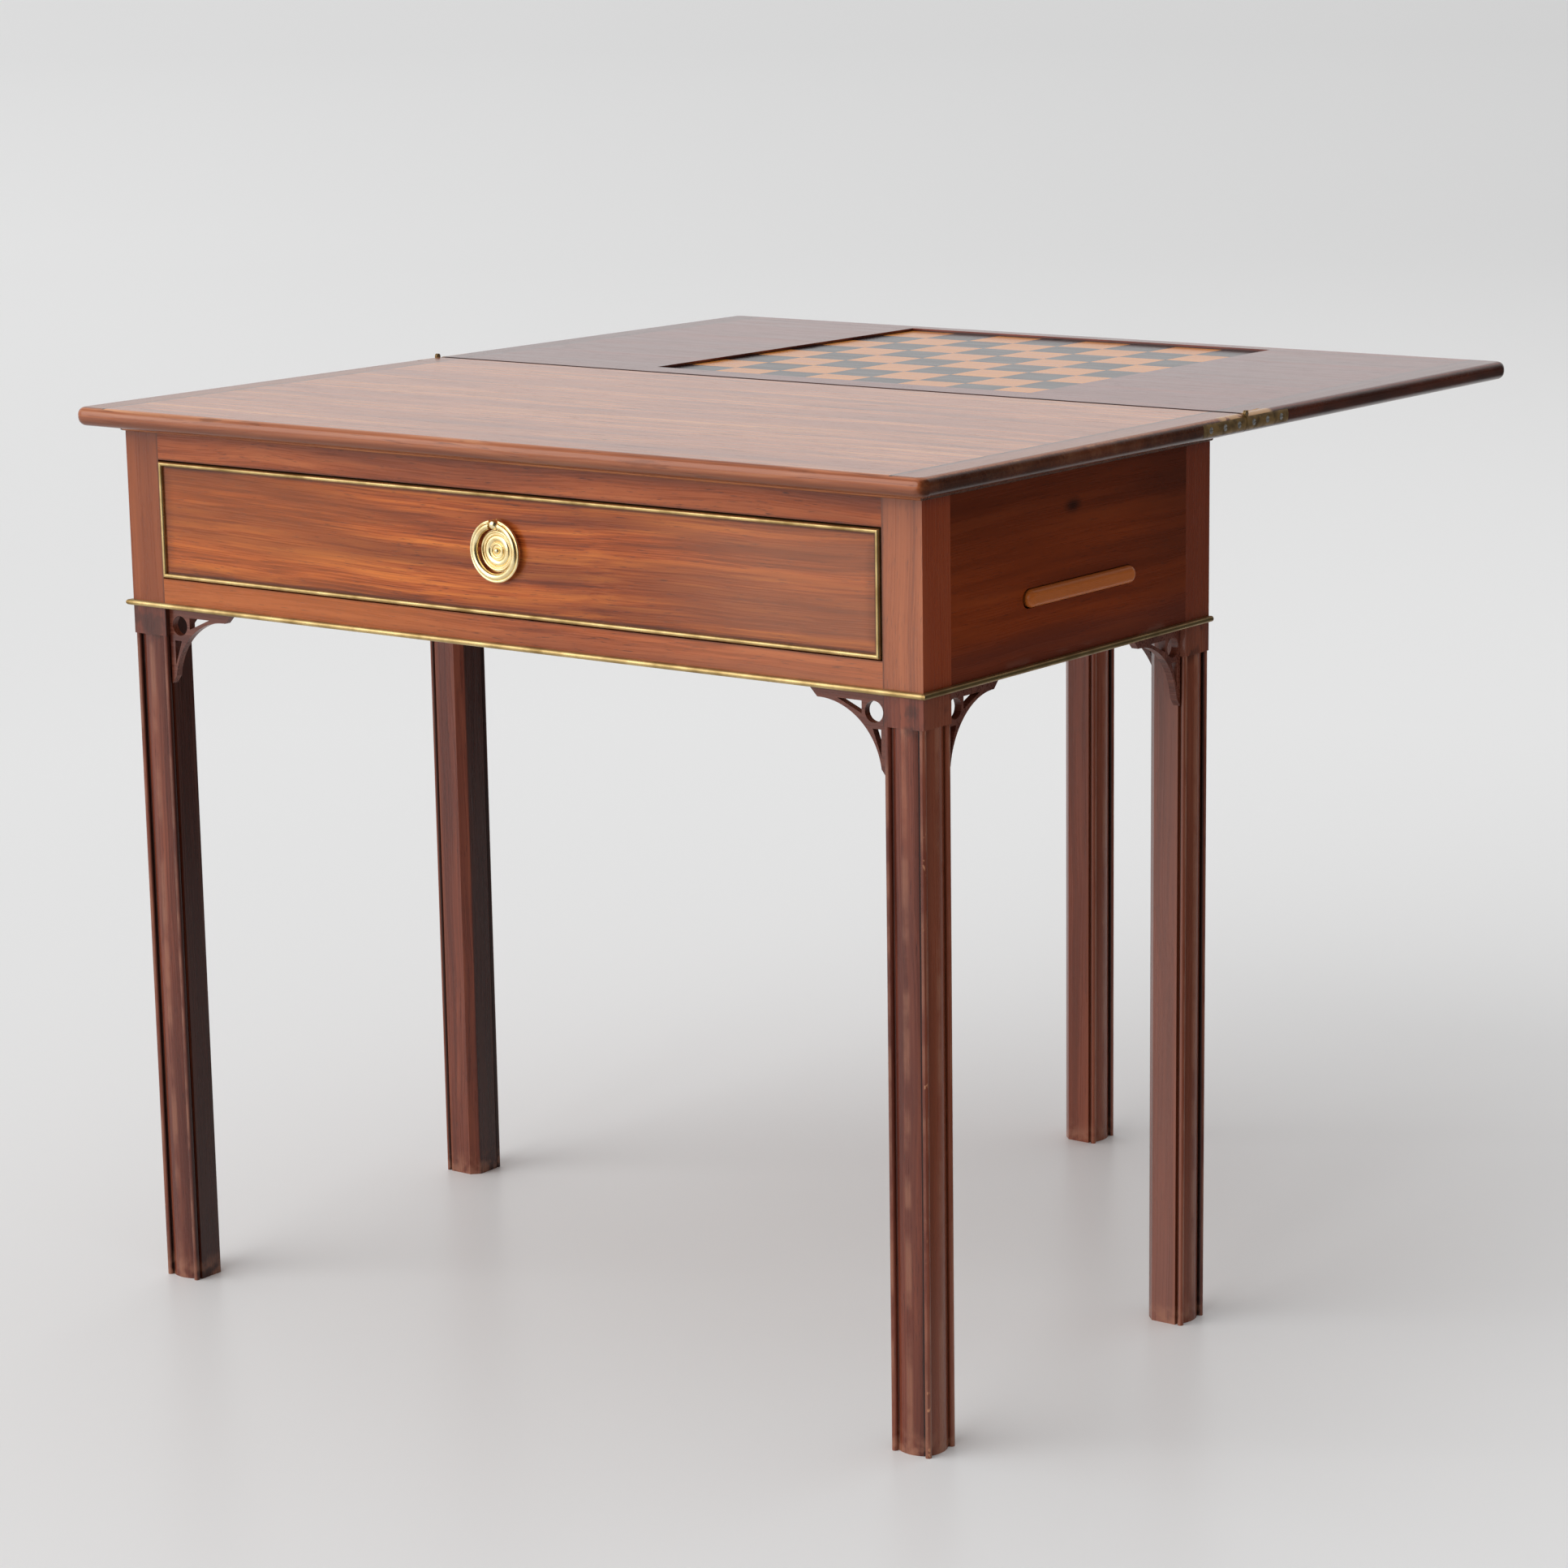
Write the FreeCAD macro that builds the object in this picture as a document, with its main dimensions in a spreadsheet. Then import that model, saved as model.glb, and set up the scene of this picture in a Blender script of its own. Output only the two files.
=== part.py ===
import FreeCAD, Part
import os
import re
import Sketcher

doc = FreeCAD.newDocument("GamesTable")
sheet = doc.addObject("Spreadsheet::Sheet", "Sizes")

# Driving sizes in millimetres.
sizes = {
    "table_height": 730,
    "top_width": 826,
    "leaf_depth": 438,
    "leaf_thickness": 15,
    "corner_radius": 9,
    "nosing_top": 6,
    "nosing_bottom": 6.5,
    "joint_gap": 0.8,
    "lower_arris": 3.5,
    "upper_arris": 2.5,
    "fold_gap": 0.5,
    "board_margin": 23,
    "board_front_margin": 33,
    "square_gap": 0.1,
    "square_thickness": 1.5,
    "ground_thickness": 4,
    "board_sink": 2.5,
    "board_play": 0.5,
    "end_overhang": 24,
    "front_overhang": 33,
    "rear_set_back": 15,
    "apron_height": 147,
    "rail_thickness": 20,
    "flat_rail_depth": 60,
    "top_rail_height": 27,
    "bottom_rail_height": 24,
    "rear_rail_thickness": 22,
    "tenon_thickness": 8,
    "tenon_depth": 18,
    "tenon_shoulder": 4,
    "mortise_play": 0.1,
    "leg_size": 35,
    "leg_chamfer": 7,
    "block_drop": 23,
    "leg_bead": 4.8,
    "leg_bead_inset": 0.1,
    "quirk_width": 1.6,
    "mould_depth": 3.2,
    "panel_crest": 0.3,
    "panel_rise": 2.8,
    "fly_pivot_x": 47,
    "fly_rail_thickness": 22,
    "fly_clearance": 0.5,
    "park_gap": 1.5,
    "knuckle_gap": 0.4,
    "knuckle_shoulder": 0.6,
    "knuckle_pin_radius": 3,
    "pin_play": 0.05,
    "apron_bead": 4.5,
    "bracket_length": 69,
    "bracket_drop": 62,
    "bracket_nose_run": 7.7,
    "bracket_nose_drop": 8,
    "bracket_foot_width": 5,
    "bracket_foot_rise": 6.5,
    "bracket_throat": 22.5,
    "bracket_thickness": 6,
    "bracket_set_back": 4.5,
    "bracket_hole_out": 11.2,
    "bracket_hole_down": 14.2,
    "bracket_hole_radius": 8,
    "fret_web": 7,
    "fret_start": 22,
    "fret_length": 21.5,
    "fret_depth": 9.4,
    "low_fret_web": 5,
    "low_fret_start": 26.5,
    "low_fret_length": 20,
    "low_fret_width": 7.5,
    "drawer_gap": 1.2,
    "drawer_front_thickness": 20,
    "cockbead_width": 3.5,
    "cockbead_proud": 2.5,
    "slide_room": 163,
    "drawer_rear_gap": 3,
    "drawer_side_thickness": 10,
    "drawer_side_height": 86,
    "drawer_lift": 0.4,
    "drawer_bottom_thickness": 6,
    "drawer_bottom_rise": 6,
    "groove_depth": 4,
    "groove_play": 0.1,
    "runner_lap": 22,
    "runner_height": 18,
    "guide_play": 0.6,
    "guide_width": 18,
    "guide_height": 58,
    "kicker_gap": 1.5,
    "stop_length": 30,
    "stop_depth": 24,
    "stop_height": 5,
    "stop_inset": 76,
    "stop_play": 0.3,
    "candle_offset": 9,
    "candle_width": 146,
    "candle_thickness": 13.5,
    "candle_rise": 22.5,
    "candle_proud": 5,
    "candle_nose": 4.5,
    "candle_play": 0.6,
    "candle_end_gap": 3.5,
    "bearer_play": 0.4,
    "bearer_wall": 8,
    "bearer_lip": 16,
    "peg_radius": 2.5,
    "peg_inset": 7,
    "peg_depth": 7,
    "peg_stand": 7,
    "hinge_length": 64,
    "hinge_height": 10,
    "hinge_depth": 2.4,
    "hinge_play": 0.1,
    "ear_radius": 2.4,
    "ear_thickness": 1,
    "ear_play": 0.6,
    "hinge_pin_radius": 0.8,
    "hinge_pin_play": 0.04,
    "hinge_screw_first": 11,
    "hinge_screw_pitch": 21,
    "hinge_screw_head": 2.6,
    "hinge_screw_sink": 1,
    "hinge_screw_shank": 1.4,
    "hinge_screw_length": 14,
    "screw_slot": 0.8,
    "screw_play": 0.1,
    "top_screw_head": 4,
    "top_screw_sink": 2.5,
    "top_screw_shank": 2,
    "top_screw_bite": 8,
    "top_screw_inset": 46.5,
    "pull_rise": 3,
    "plate_radius": 16,
    "plate_thickness": 1.5,
    "plate_rim": 14.6,
    "plate_inner_ring": 5.3,
    "plate_reed": 1.1,
    "plate_swell": 9.6,
    "plate_swell_reed": 3.4,
    "plate_swell_sink": 2.2,
    "plate_boss": 2.6,
    "ring_radius": 20.5,
    "ring_reed": 2.6,
    "ring_reed_in": 0.9,
    "ring_side_reed": 1.2,
    "ring_side_step": 2.4,
    "ring_pin_radius": 1.3,
    "ring_play": 0.5,
    "post_reach": 4.5,
    "post_head": 4,
    "post_collar": 3.6,
    "post_collar_height": 1.5,
    "post_shank": 2,
    "nut_radius": 5,
    "nut_thickness": 3,
}

knuckle_count = 5
board_side = 8
close = 0.01

# Sizes that follow from the driving ones.
derived = {
    "half_top": "top_width / 2",
    "half_frame": "half_top - end_overhang",
    "frame_depth": "leaf_depth - front_overhang - rear_set_back",
    "leaf_bottom": "table_height - leaf_thickness",
    "apron_bottom": "leaf_bottom - apron_height",
    "block_bottom": "apron_bottom - block_drop",
    "frame_front": "front_overhang - leaf_depth",
    "frame_rear": "frame_front + frame_depth",
    "front_leg_back": "frame_front + leg_size",
    "rear_leg_front": "frame_rear - leg_size",
    "leg_inner": "half_frame - leg_size",
    "rail_inner": "half_frame - rail_thickness",
    "flat_rail_back": "frame_front + flat_rail_depth",
    "rear_rail_front": "rear_leg_front - rear_rail_thickness",
    "drawer_floor": "apron_bottom + bottom_rail_height",
    "drawer_roof": "leaf_bottom - top_rail_height",
    "panel_half": "leg_size / 2 - leg_bead - quirk_width",
    "panel_radius": "(panel_half * panel_half + panel_rise * panel_rise) / (2 * panel_rise)",
    "bead_middle": "leg_bead / 2 + leg_bead_inset",
    "knuckle_radius": "fly_rail_thickness / 2",
    "fly_pivot_y": "frame_rear - knuckle_radius + fly_clearance",
    "fly_top": "leaf_bottom - fly_clearance",
    "fly_leg_front": "fly_pivot_y + fly_pivot_x + leg_inner - park_gap - leg_size",
    "fly_leg_rear": "fly_leg_front + leg_size",
    "knuckle_height": "(fly_top - apron_bottom) / %d" % knuckle_count,
    "front_half": "leg_inner - drawer_gap",
    "front_low": "drawer_floor + drawer_gap",
    "front_high": "drawer_roof - drawer_gap",
    "front_back": "frame_front + drawer_front_thickness",
    "box_half": "half_frame - slide_room",
    "box_inner": "box_half - drawer_side_thickness",
    "box_low": "drawer_floor + drawer_lift",
    "box_high": "box_low + drawer_side_height",
    "box_rear": "rear_rail_front - drawer_rear_gap",
    "bottom_low": "box_low + drawer_bottom_rise",
    "bottom_high": "bottom_low + drawer_bottom_thickness",
    "guide_inner": "box_half + guide_play",
    "guide_outer": "guide_inner + guide_width",
    "kicker_low": "box_high + kicker_gap",
    "candle_low": "drawer_floor + candle_rise",
    "candle_high": "candle_low + candle_thickness",
    "candle_mid": "candle_low + candle_thickness / 2",
    "candle_y": "(frame_front + frame_rear) / 2 + candle_offset",
    "candle_front": "candle_y - candle_width / 2",
    "candle_back": "candle_y + candle_width / 2",
    "candle_inner": "guide_outer + candle_play",
    "board_depth": "leaf_depth - board_margin - board_front_margin",
    "square_size": "board_depth / %d" % board_side,
    "board_half": "board_depth / 2",
    "board_front": "board_front_margin",
    "square_low": "table_height - board_sink - square_thickness",
    "ground_low": "square_low - ground_thickness",
    "hinge_z": "table_height + fold_gap / 2",
    "hinge_low": "table_height - leaf_thickness / 2 - hinge_height / 2",
    "hinge_high": "hinge_low + hinge_height",
    "ear_room": "ear_radius + ear_play",
    "pull_z": "(drawer_floor + drawer_roof) / 2 + pull_rise",
    "eye_z": "pull_z + ring_radius",
    "ring_y": "frame_front - post_reach",
    "kicker_middle": "box_half - runner_lap / 2",
}

for row, (name, number) in enumerate(sizes.items(), start=1):
    sheet.set("A%d" % row, name)
    sheet.set("B%d" % row, str(number))
    sheet.setAlias("B%d" % row, name)
doc.recompute()

pieces = []
turned = {
    "x": FreeCAD.Rotation(FreeCAD.Vector(0, 1, 0), 90),
    "y": FreeCAD.Rotation(FreeCAD.Vector(1, 0, 0), -90),
    "z": FreeCAD.Rotation(),
}


def formula(text):
    def swap(match):
        word = match.group(0)
        if word in derived:
            return "(" + formula(derived[word]) + ")"
        if word in sizes:
            return "Sizes." + word
        return word
    return re.sub(r"[a-z][a-z_]*", swap, text)


def value(text):
    return float(sheet.evalExpression(formula(text)))


def bind(thing, prop, text):
    thing.setExpression(prop, formula(text))


def put(thing, x, y, z):
    bind(thing, "Placement.Base.x", x)
    bind(thing, "Placement.Base.y", y)
    bind(thing, "Placement.Base.z", z)


def box(name, x, y, z):
    thing = doc.addObject("Part::Box", name)
    bind(thing, "Length", "(%s) - (%s)" % (x[1], x[0]))
    bind(thing, "Width", "(%s) - (%s)" % (y[1], y[0]))
    bind(thing, "Height", "(%s) - (%s)" % (z[1], z[0]))
    put(thing, x[0], y[0], z[0])
    return thing


def rod(name, axis, radius, length, x, y, z):
    thing = doc.addObject("Part::Cylinder", name)
    thing.Placement = FreeCAD.Placement(FreeCAD.Vector(), turned[axis])
    bind(thing, "Radius", radius)
    bind(thing, "Height", length)
    put(thing, x, y, z)
    return thing


def hoop(name, radius, reed, x, y, z):
    thing = doc.addObject("Part::Torus", name)
    thing.Placement = FreeCAD.Placement(FreeCAD.Vector(), turned["y"])
    bind(thing, "Radius1", radius)
    bind(thing, "Radius2", reed)
    put(thing, x, y, z)
    return thing


def ball(name, radius, x, y, z):
    thing = doc.addObject("Part::Sphere", name)
    bind(thing, "Radius", radius)
    put(thing, x, y, z)
    return thing


# A square bar stood on its edge, with its middle at the two given places across the axis.
tilted = {
    "x": FreeCAD.Rotation(FreeCAD.Vector(1, 0, 0), 45),
    "y": FreeCAD.Rotation(FreeCAD.Vector(0, 1, 0), -45),
    "z": FreeCAD.Rotation(FreeCAD.Vector(0, 0, 1), 45),
}


def diamond(name, axis, half, across, second, span):
    thing = doc.addObject("Part::Box", name)
    side = "sqrt(2) * (%s)" % half
    low = "%s - (%s)" % (second, half)
    length = "(%s) - (%s)" % (span[1], span[0])
    sides = {"x": (length, side, side), "y": (side, length, side), "z": (side, side, length)}
    for prop, text in zip(("Length", "Width", "Height"), sides[axis]):
        bind(thing, prop, text)
    places = {"x": (span[0], across, low), "y": (across, span[0], low), "z": (across, low, span[0])}
    thing.Placement = FreeCAD.Placement(FreeCAD.Vector(), tilted[axis])
    put(thing, *places[axis])
    return thing


def fuse(name, parts):
    thing = doc.addObject("Part::MultiFuse", name)
    thing.Shapes = parts
    return thing


def cut(name, base, tools):
    thing = doc.addObject("Part::Cut", name)
    thing.Base = base
    thing.Tool = tools[0] if len(tools) == 1 else fuse(name + "_tools", tools)
    return thing


def common(name, first, second):
    thing = doc.addObject("Part::Common", name)
    thing.Base = first
    thing.Tool = second
    return thing


def group(name, parts):
    thing = doc.addObject("Part::Compound", name)
    thing.Links = parts
    return thing


def keep(label, thing):
    thing.Label = label
    pieces.append(thing)
    return thing


def rounded(name, base, radius, wanted):
    doc.recompute()
    chosen = []
    for number, edge in enumerate(base.Shape.Edges, start=1):
        if wanted(edge.BoundBox):
            chosen.append((number, radius, radius))
    thing = doc.addObject("Part::Fillet", name)
    thing.Base = base
    thing.Edges = chosen
    return thing


# A strip with a half-round nose toward one side; spans holds its reach along x, y and z.
def nosed(name, spans, along, nose, toward):
    across = [axis for axis in "xyz" if axis not in (along, nose)][0]
    radius = "((%s) - (%s)) / 2" % (spans[across][1], spans[across][0])
    low, high = spans[nose]
    if toward < 0:
        centre = "%s + %s" % (low, radius)
        bar = (centre, high)
    else:
        centre = "%s - %s" % (high, radius)
        bar = (low, centre)
    middle = {along: spans[along][0], nose: centre, across: "%s + %s" % (spans[across][0], radius)}
    length = "(%s) - (%s)" % (spans[along][1], spans[along][0])
    body = box(name + "_bar", **{**spans, nose: bar})
    round_nose = rod(name + "_nose", along, radius, length, **middle)
    return fuse(name + "_strip", [body, round_nose])


# Spans are measured inward from an outer face; side is the way that face looks.
def inward(face, side, near, far):
    if side < 0:
        return ("%s + (%s)" % (face, near), "%s + (%s)" % (face, far))
    return ("%s - (%s)" % (face, far), "%s - (%s)" % (face, near))


def depth(face, side, distance):
    return inward(face, side, distance, distance)[0]


def about(middle, width):
    return ("%s - (%s) / 2" % (middle, width), "%s + (%s) / 2" % (middle, width))


def grown(span, play):
    return ("%s - (%s)" % (span[0], play), "%s + (%s)" % (span[1], play))


def mortise(name, spans):
    return box(name, *[grown(span, "mortise_play") for span in spans])


# Legs have beads at three corners, a swelling panel on both outer faces and a chamfer inside.
def leg(name, face_x, side_x, face_y, side_y, top, mortises):
    def x_span(near, far):
        return inward(face_x, side_x, near, far)

    def y_span(near, far):
        return inward(face_y, side_y, near, far)

    def bead(part, x_depth, y_depth):
        x = depth(face_x, side_x, x_depth)
        y = depth(face_y, side_y, y_depth)
        return rod(name + part, "z", "leg_bead / 2", "block_bottom", x, y, "0")

    low = ("0", "block_bottom")
    core = box(name + "_core", x_span("mould_depth", "leg_size"), y_span("mould_depth", "leg_size"), low)
    edge = ("leg_size - mould_depth", "leg_size + mould_depth")
    behind = ("0", "leg_bead + quirk_width")
    core = cut(name + "_quirked", core, [
        box(name + "_quirk_x", x_span(*edge), y_span(*behind), low),
        box(name + "_quirk_y", x_span(*behind), y_span(*edge), low),
    ])
    panel = ("leg_bead + quirk_width", "leg_size - leg_bead - quirk_width")
    skin = ("0", "mould_depth + panel_rise")
    front = common(
        name + "_front_panel",
        box(name + "_front_blank", x_span(*panel), y_span(*skin), low),
        rod(name + "_front_swell", "z", "panel_radius", "block_bottom",
            depth(face_x, side_x, "leg_size / 2"), depth(face_y, side_y, "panel_crest + panel_radius"), "0"))
    side = common(
        name + "_side_panel",
        box(name + "_side_blank", x_span(*skin), y_span(*panel), low),
        rod(name + "_side_swell", "z", "panel_radius", "block_bottom",
            depth(face_x, side_x, "panel_crest + panel_radius"), depth(face_y, side_y, "leg_size / 2"), "0"))
    block = box(name + "_block", x_span("0", "leg_size"), y_span("0", "leg_size"), ("block_bottom", top))
    whole = fuse(name + "_whole", [
        block, core, front, side,
        bead("_corner_bead", "bead_middle", "bead_middle"),
        bead("_front_bead", "leg_size - bead_middle", "bead_middle"),
        bead("_side_bead", "bead_middle", "leg_size - bead_middle"),
    ])
    chamfer = diamond(name + "_chamfer", "z", "leg_chamfer", depth(face_x, side_x, "leg_size"),
                      depth(face_y, side_y, "leg_size"), ("0", "apron_bottom"))
    tools = [chamfer]
    for number, spans in enumerate(mortises):
        tools.append(mortise("%s_mortise_%d" % (name, number), spans))
    return keep(name, cut(name, whole, tools))


# Rails of the frame, with tenons into the legs.
apron = ("apron_bottom", "leaf_bottom")
tenon_z = ("apron_bottom + tenon_shoulder", "leaf_bottom - tenon_shoulder")
mortises = {"front_left": [], "front_right": [], "rear_left": [], "rear_right": []}

for label, z in (("front_top_rail", ("drawer_roof", "leaf_bottom")),
                 ("front_bottom_rail", ("apron_bottom", "drawer_floor"))):
    rail = box(label + "_bar", ("-leg_inner", "leg_inner"), ("frame_front", "flat_rail_back"), z)
    tenon_y = about("frame_front + leg_size / 2", "tenon_thickness")
    tongue = ("%s + tenon_shoulder" % z[0], "%s - tenon_shoulder" % z[1])
    parts = [rail]
    for corner, x in (("front_left", ("-leg_inner - tenon_depth", "-leg_inner")),
                      ("front_right", ("leg_inner", "leg_inner + tenon_depth"))):
        parts.append(box("%s_tenon_%s" % (label, corner), x, tenon_y, tongue))
        mortises[corner].append((x, tenon_y, tongue))
    keep(label, fuse(label, parts))

for hand, side in (("left", -1), ("right", 1)):
    face = "half_frame * %d" % side
    label = "side_rail_" + hand
    x = inward(face, side, "0", "rail_thickness")
    bar = box(label + "_bar", x, ("front_leg_back", "rear_leg_front"), apron)
    tenon_x = about(depth(face, side, "rail_thickness / 2"), "tenon_thickness")
    front = ("front_leg_back - tenon_depth", "front_leg_back")
    rear = ("rear_leg_front", "rear_leg_front + tenon_depth")
    mortises["front_" + hand].append((tenon_x, front, tenon_z))
    mortises["rear_" + hand].append((tenon_x, rear, tenon_z))
    whole = fuse(label + "_whole", [
        bar,
        box(label + "_tenon_front", tenon_x, front, tenon_z),
        box(label + "_tenon_rear", tenon_x, rear, tenon_z),
    ])
    slot_radius = "candle_thickness / 2 + candle_play"
    slot_front = "candle_front - candle_end_gap + %s" % slot_radius
    slot_back = "candle_back + candle_play - (%s)" % slot_radius
    through = grown(x, "candle_play")
    reach = "rail_thickness + 2 * candle_play"
    slot = fuse(label + "_slot", [
        box(label + "_slot_bar", through, (slot_front, slot_back),
            about("candle_mid", "2 * (%s)" % slot_radius)),
        rod(label + "_slot_front", "x", slot_radius, reach, through[0], slot_front, "candle_mid"),
        rod(label + "_slot_back", "x", slot_radius, reach, through[0], slot_back, "candle_mid"),
    ])
    keep(label, cut(label, whole, [slot]))

keep("rear_rail", box("rear_rail", ("-rail_inner", "rail_inner"),
                      ("rear_rail_front", "rear_leg_front"), apron))

# Fly rail: a fixed half and a swinging half on one knuckle pin.
fly_tenon_y = about("(rear_leg_front + frame_rear) / 2", "tenon_thickness")
fly_tenon_z = ("apron_bottom + tenon_shoulder", "fly_top - tenon_shoulder")
fixed_tenon = (("leg_inner", "leg_inner + tenon_depth"), fly_tenon_y, fly_tenon_z)
mortises["rear_right"].append(fixed_tenon)
fly_z = ("apron_bottom", "fly_top")
shoulder = "knuckle_radius + knuckle_shoulder"
knuckle_x = about("fly_pivot_x", "fly_rail_thickness")
knuckle_y = about("fly_pivot_y", "fly_rail_thickness")
swing_tenon = (about("fly_pivot_x", "tenon_thickness"), ("fly_leg_front", "fly_leg_front + tenon_depth"),
               fly_tenon_z)
halves = {
    "fly_rail_fixed": [
        box("fixed_bar", ("fly_pivot_x + " + shoulder, "leg_inner"), ("rear_leg_front", "frame_rear"), fly_z),
        box("fixed_tenon", *fixed_tenon),
    ],
    "fly_rail": [
        box("swing_bar", knuckle_x, ("fly_pivot_y + " + shoulder, "fly_leg_front"), fly_z),
        box("swing_tenon", *swing_tenon),
    ],
}
for number in range(knuckle_count):
    z = ("apron_bottom + %d * knuckle_height + knuckle_gap / 2" % number,
         "apron_bottom + %d * knuckle_height - knuckle_gap / 2" % (number + 1))
    if number % 2:
        label = "fly_rail"
        neck = box("knuckle_neck_%d" % number, knuckle_x, ("fly_pivot_y", "fly_pivot_y + " + shoulder), z)
    else:
        label = "fly_rail_fixed"
        neck = box("knuckle_neck_%d" % number, ("fly_pivot_x", "fly_pivot_x + " + shoulder), knuckle_y, z)
    halves[label].append(neck)
    halves[label].append(rod("knuckle_%d" % number, "z", "knuckle_radius", "knuckle_height - knuckle_gap",
                             "fly_pivot_x", "fly_pivot_y", z[0]))
for label, parts in halves.items():
    bore = rod(label + "_bore", "z", "knuckle_pin_radius + pin_play", "fly_top",
               "fly_pivot_x", "fly_pivot_y", "0")
    keep(label, cut(label, fuse(label + "_whole", parts), [bore]))
keep("fly_knuckle_pin", rod("fly_knuckle_pin", "z", "knuckle_pin_radius", "fly_top - apron_bottom",
                            "fly_pivot_x", "fly_pivot_y", "apron_bottom"))

# Legs.
for hand, side in (("left", -1), ("right", 1)):
    face = "half_frame * %d" % side
    for end, face_y, way in (("front", "frame_front", -1), ("rear", "frame_rear", 1)):
        corner = end + "_" + hand
        leg("leg_" + corner, face, side, face_y, way, "leaf_bottom", mortises[corner])
leg("fly_leg", "fly_pivot_x + knuckle_radius", 1, "fly_leg_rear", 1, "fly_top", [swing_tenon])


# Brackets are pierced boards; u runs from the leg along the rail and w runs up from its foot.
def fix(sketch, item, end, u, w):
    for kind, text in (("DistanceX", u), ("DistanceY", w)):
        index = sketch.addConstraint(Sketcher.Constraint(kind, -1, 1, item, end, value(text)))
        sketch.setExpression("Constraints[%d]" % index, formula(text))


def point(u, w):
    return FreeCAD.Vector(value(u), value(w), 0)


def loop(sketch, corners):
    first = sketch.GeometryCount
    for number, corner in enumerate(corners):
        after = corners[(number + 1) % len(corners)]
        sketch.addGeometry(Part.LineSegment(point(*corner), point(*after)))
    for number, corner in enumerate(corners):
        after = (number + 1) % len(corners)
        sketch.addConstraint(Sketcher.Constraint("Coincident", first + number, 2, first + after, 1))
        fix(sketch, first + number, 1, *corner)


def bracket(label, x, y, turn):
    body = doc.addObject("PartDesign::Body", label)
    plane = [item for item in body.Origin.OriginFeatures if item.Role == "XY_Plane"][0]
    sketch = body.newObject("Sketcher::SketchObject", label + "_outline")
    sketch.AttachmentSupport = (plane, [""])
    sketch.MapMode = "FlatFace"
    tip = ("bracket_length - bracket_nose_run", "-bracket_nose_drop")
    foot = ("bracket_foot_width", "bracket_foot_rise - bracket_drop")
    throat = ("bracket_throat", "-bracket_throat")
    edges = [foot, ("0", "-bracket_drop"), ("0", "0"), ("bracket_length", "0"), tip]
    for number in range(4):
        sketch.addGeometry(Part.LineSegment(point(*edges[number]), point(*edges[number + 1])))
    curve = sketch.addGeometry(Part.Arc(point(*tip), point(*throat), point(*foot)))
    for number in range(3):
        sketch.addConstraint(Sketcher.Constraint("Coincident", number, 2, number + 1, 1))
    near = 1 if sketch.getPoint(curve, 1).distanceToPoint(point(*tip)) < close else 2
    sketch.addConstraint(Sketcher.Constraint("Coincident", 3, 2, curve, near))
    sketch.addConstraint(Sketcher.Constraint("Coincident", 0, 1, curve, 3 - near))
    mark = sketch.addGeometry(Part.Point(point(*throat)), True)
    sketch.addConstraint(Sketcher.Constraint("PointOnObject", mark, 1, curve))
    fix(sketch, mark, 1, *throat)
    for number in range(4):
        fix(sketch, number, 1, *edges[number])
    fix(sketch, 3, 2, *tip)
    hole = ("bracket_hole_out", "-bracket_hole_down")
    hole_circle = Part.Circle(point(*hole), FreeCAD.Vector(0, 0, 1), value("bracket_hole_radius"))
    ring = sketch.addGeometry(hole_circle)
    index = sketch.addConstraint(Sketcher.Constraint("Radius", ring, value("bracket_hole_radius")))
    sketch.setExpression("Constraints[%d]" % index, formula("bracket_hole_radius"))
    fix(sketch, ring, 3, *hole)
    far = "fret_start + fret_length"
    deep = "fret_web + fret_depth"
    loop(sketch, [(far, "-fret_web"), ("fret_start", "-fret_web"), ("fret_start", "-(%s)" % deep)])
    low_far = "low_fret_start + low_fret_length"
    low_deep = "low_fret_web + low_fret_width"
    loop(sketch, [("low_fret_web", "-(%s)" % low_far), ("low_fret_web", "-low_fret_start"),
                  (low_deep, "-low_fret_start")])
    pad = body.newObject("PartDesign::Pad", label + "_board")
    pad.Profile = sketch
    bind(pad, "Length", "bracket_thickness")
    upright = FreeCAD.Rotation(FreeCAD.Vector(1, 0, 0), 90)
    facing = FreeCAD.Rotation(FreeCAD.Vector(0, 0, 1), turn)
    body.Placement = FreeCAD.Placement(FreeCAD.Vector(), facing * upright)
    put(body, x, y, "apron_bottom")
    keep(label, body)


near_face = "bracket_set_back"
far_face = "bracket_set_back + bracket_thickness"
bracket("bracket_front_left_front", "-leg_inner", "frame_front + " + far_face, 0)
bracket("bracket_front_right_front", "leg_inner", "frame_front + " + near_face, 180)
bracket("bracket_rear_right_rear", "leg_inner", "frame_rear - (%s)" % far_face, 180)
bracket("bracket_front_left_side", "-half_frame + " + near_face, "front_leg_back", 90)
bracket("bracket_front_right_side", "half_frame - (%s)" % far_face, "front_leg_back", 90)
bracket("bracket_rear_left_side", "-half_frame + " + far_face, "rear_leg_front", -90)
bracket("bracket_rear_right_side", "half_frame - " + near_face, "rear_leg_front", -90)

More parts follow.
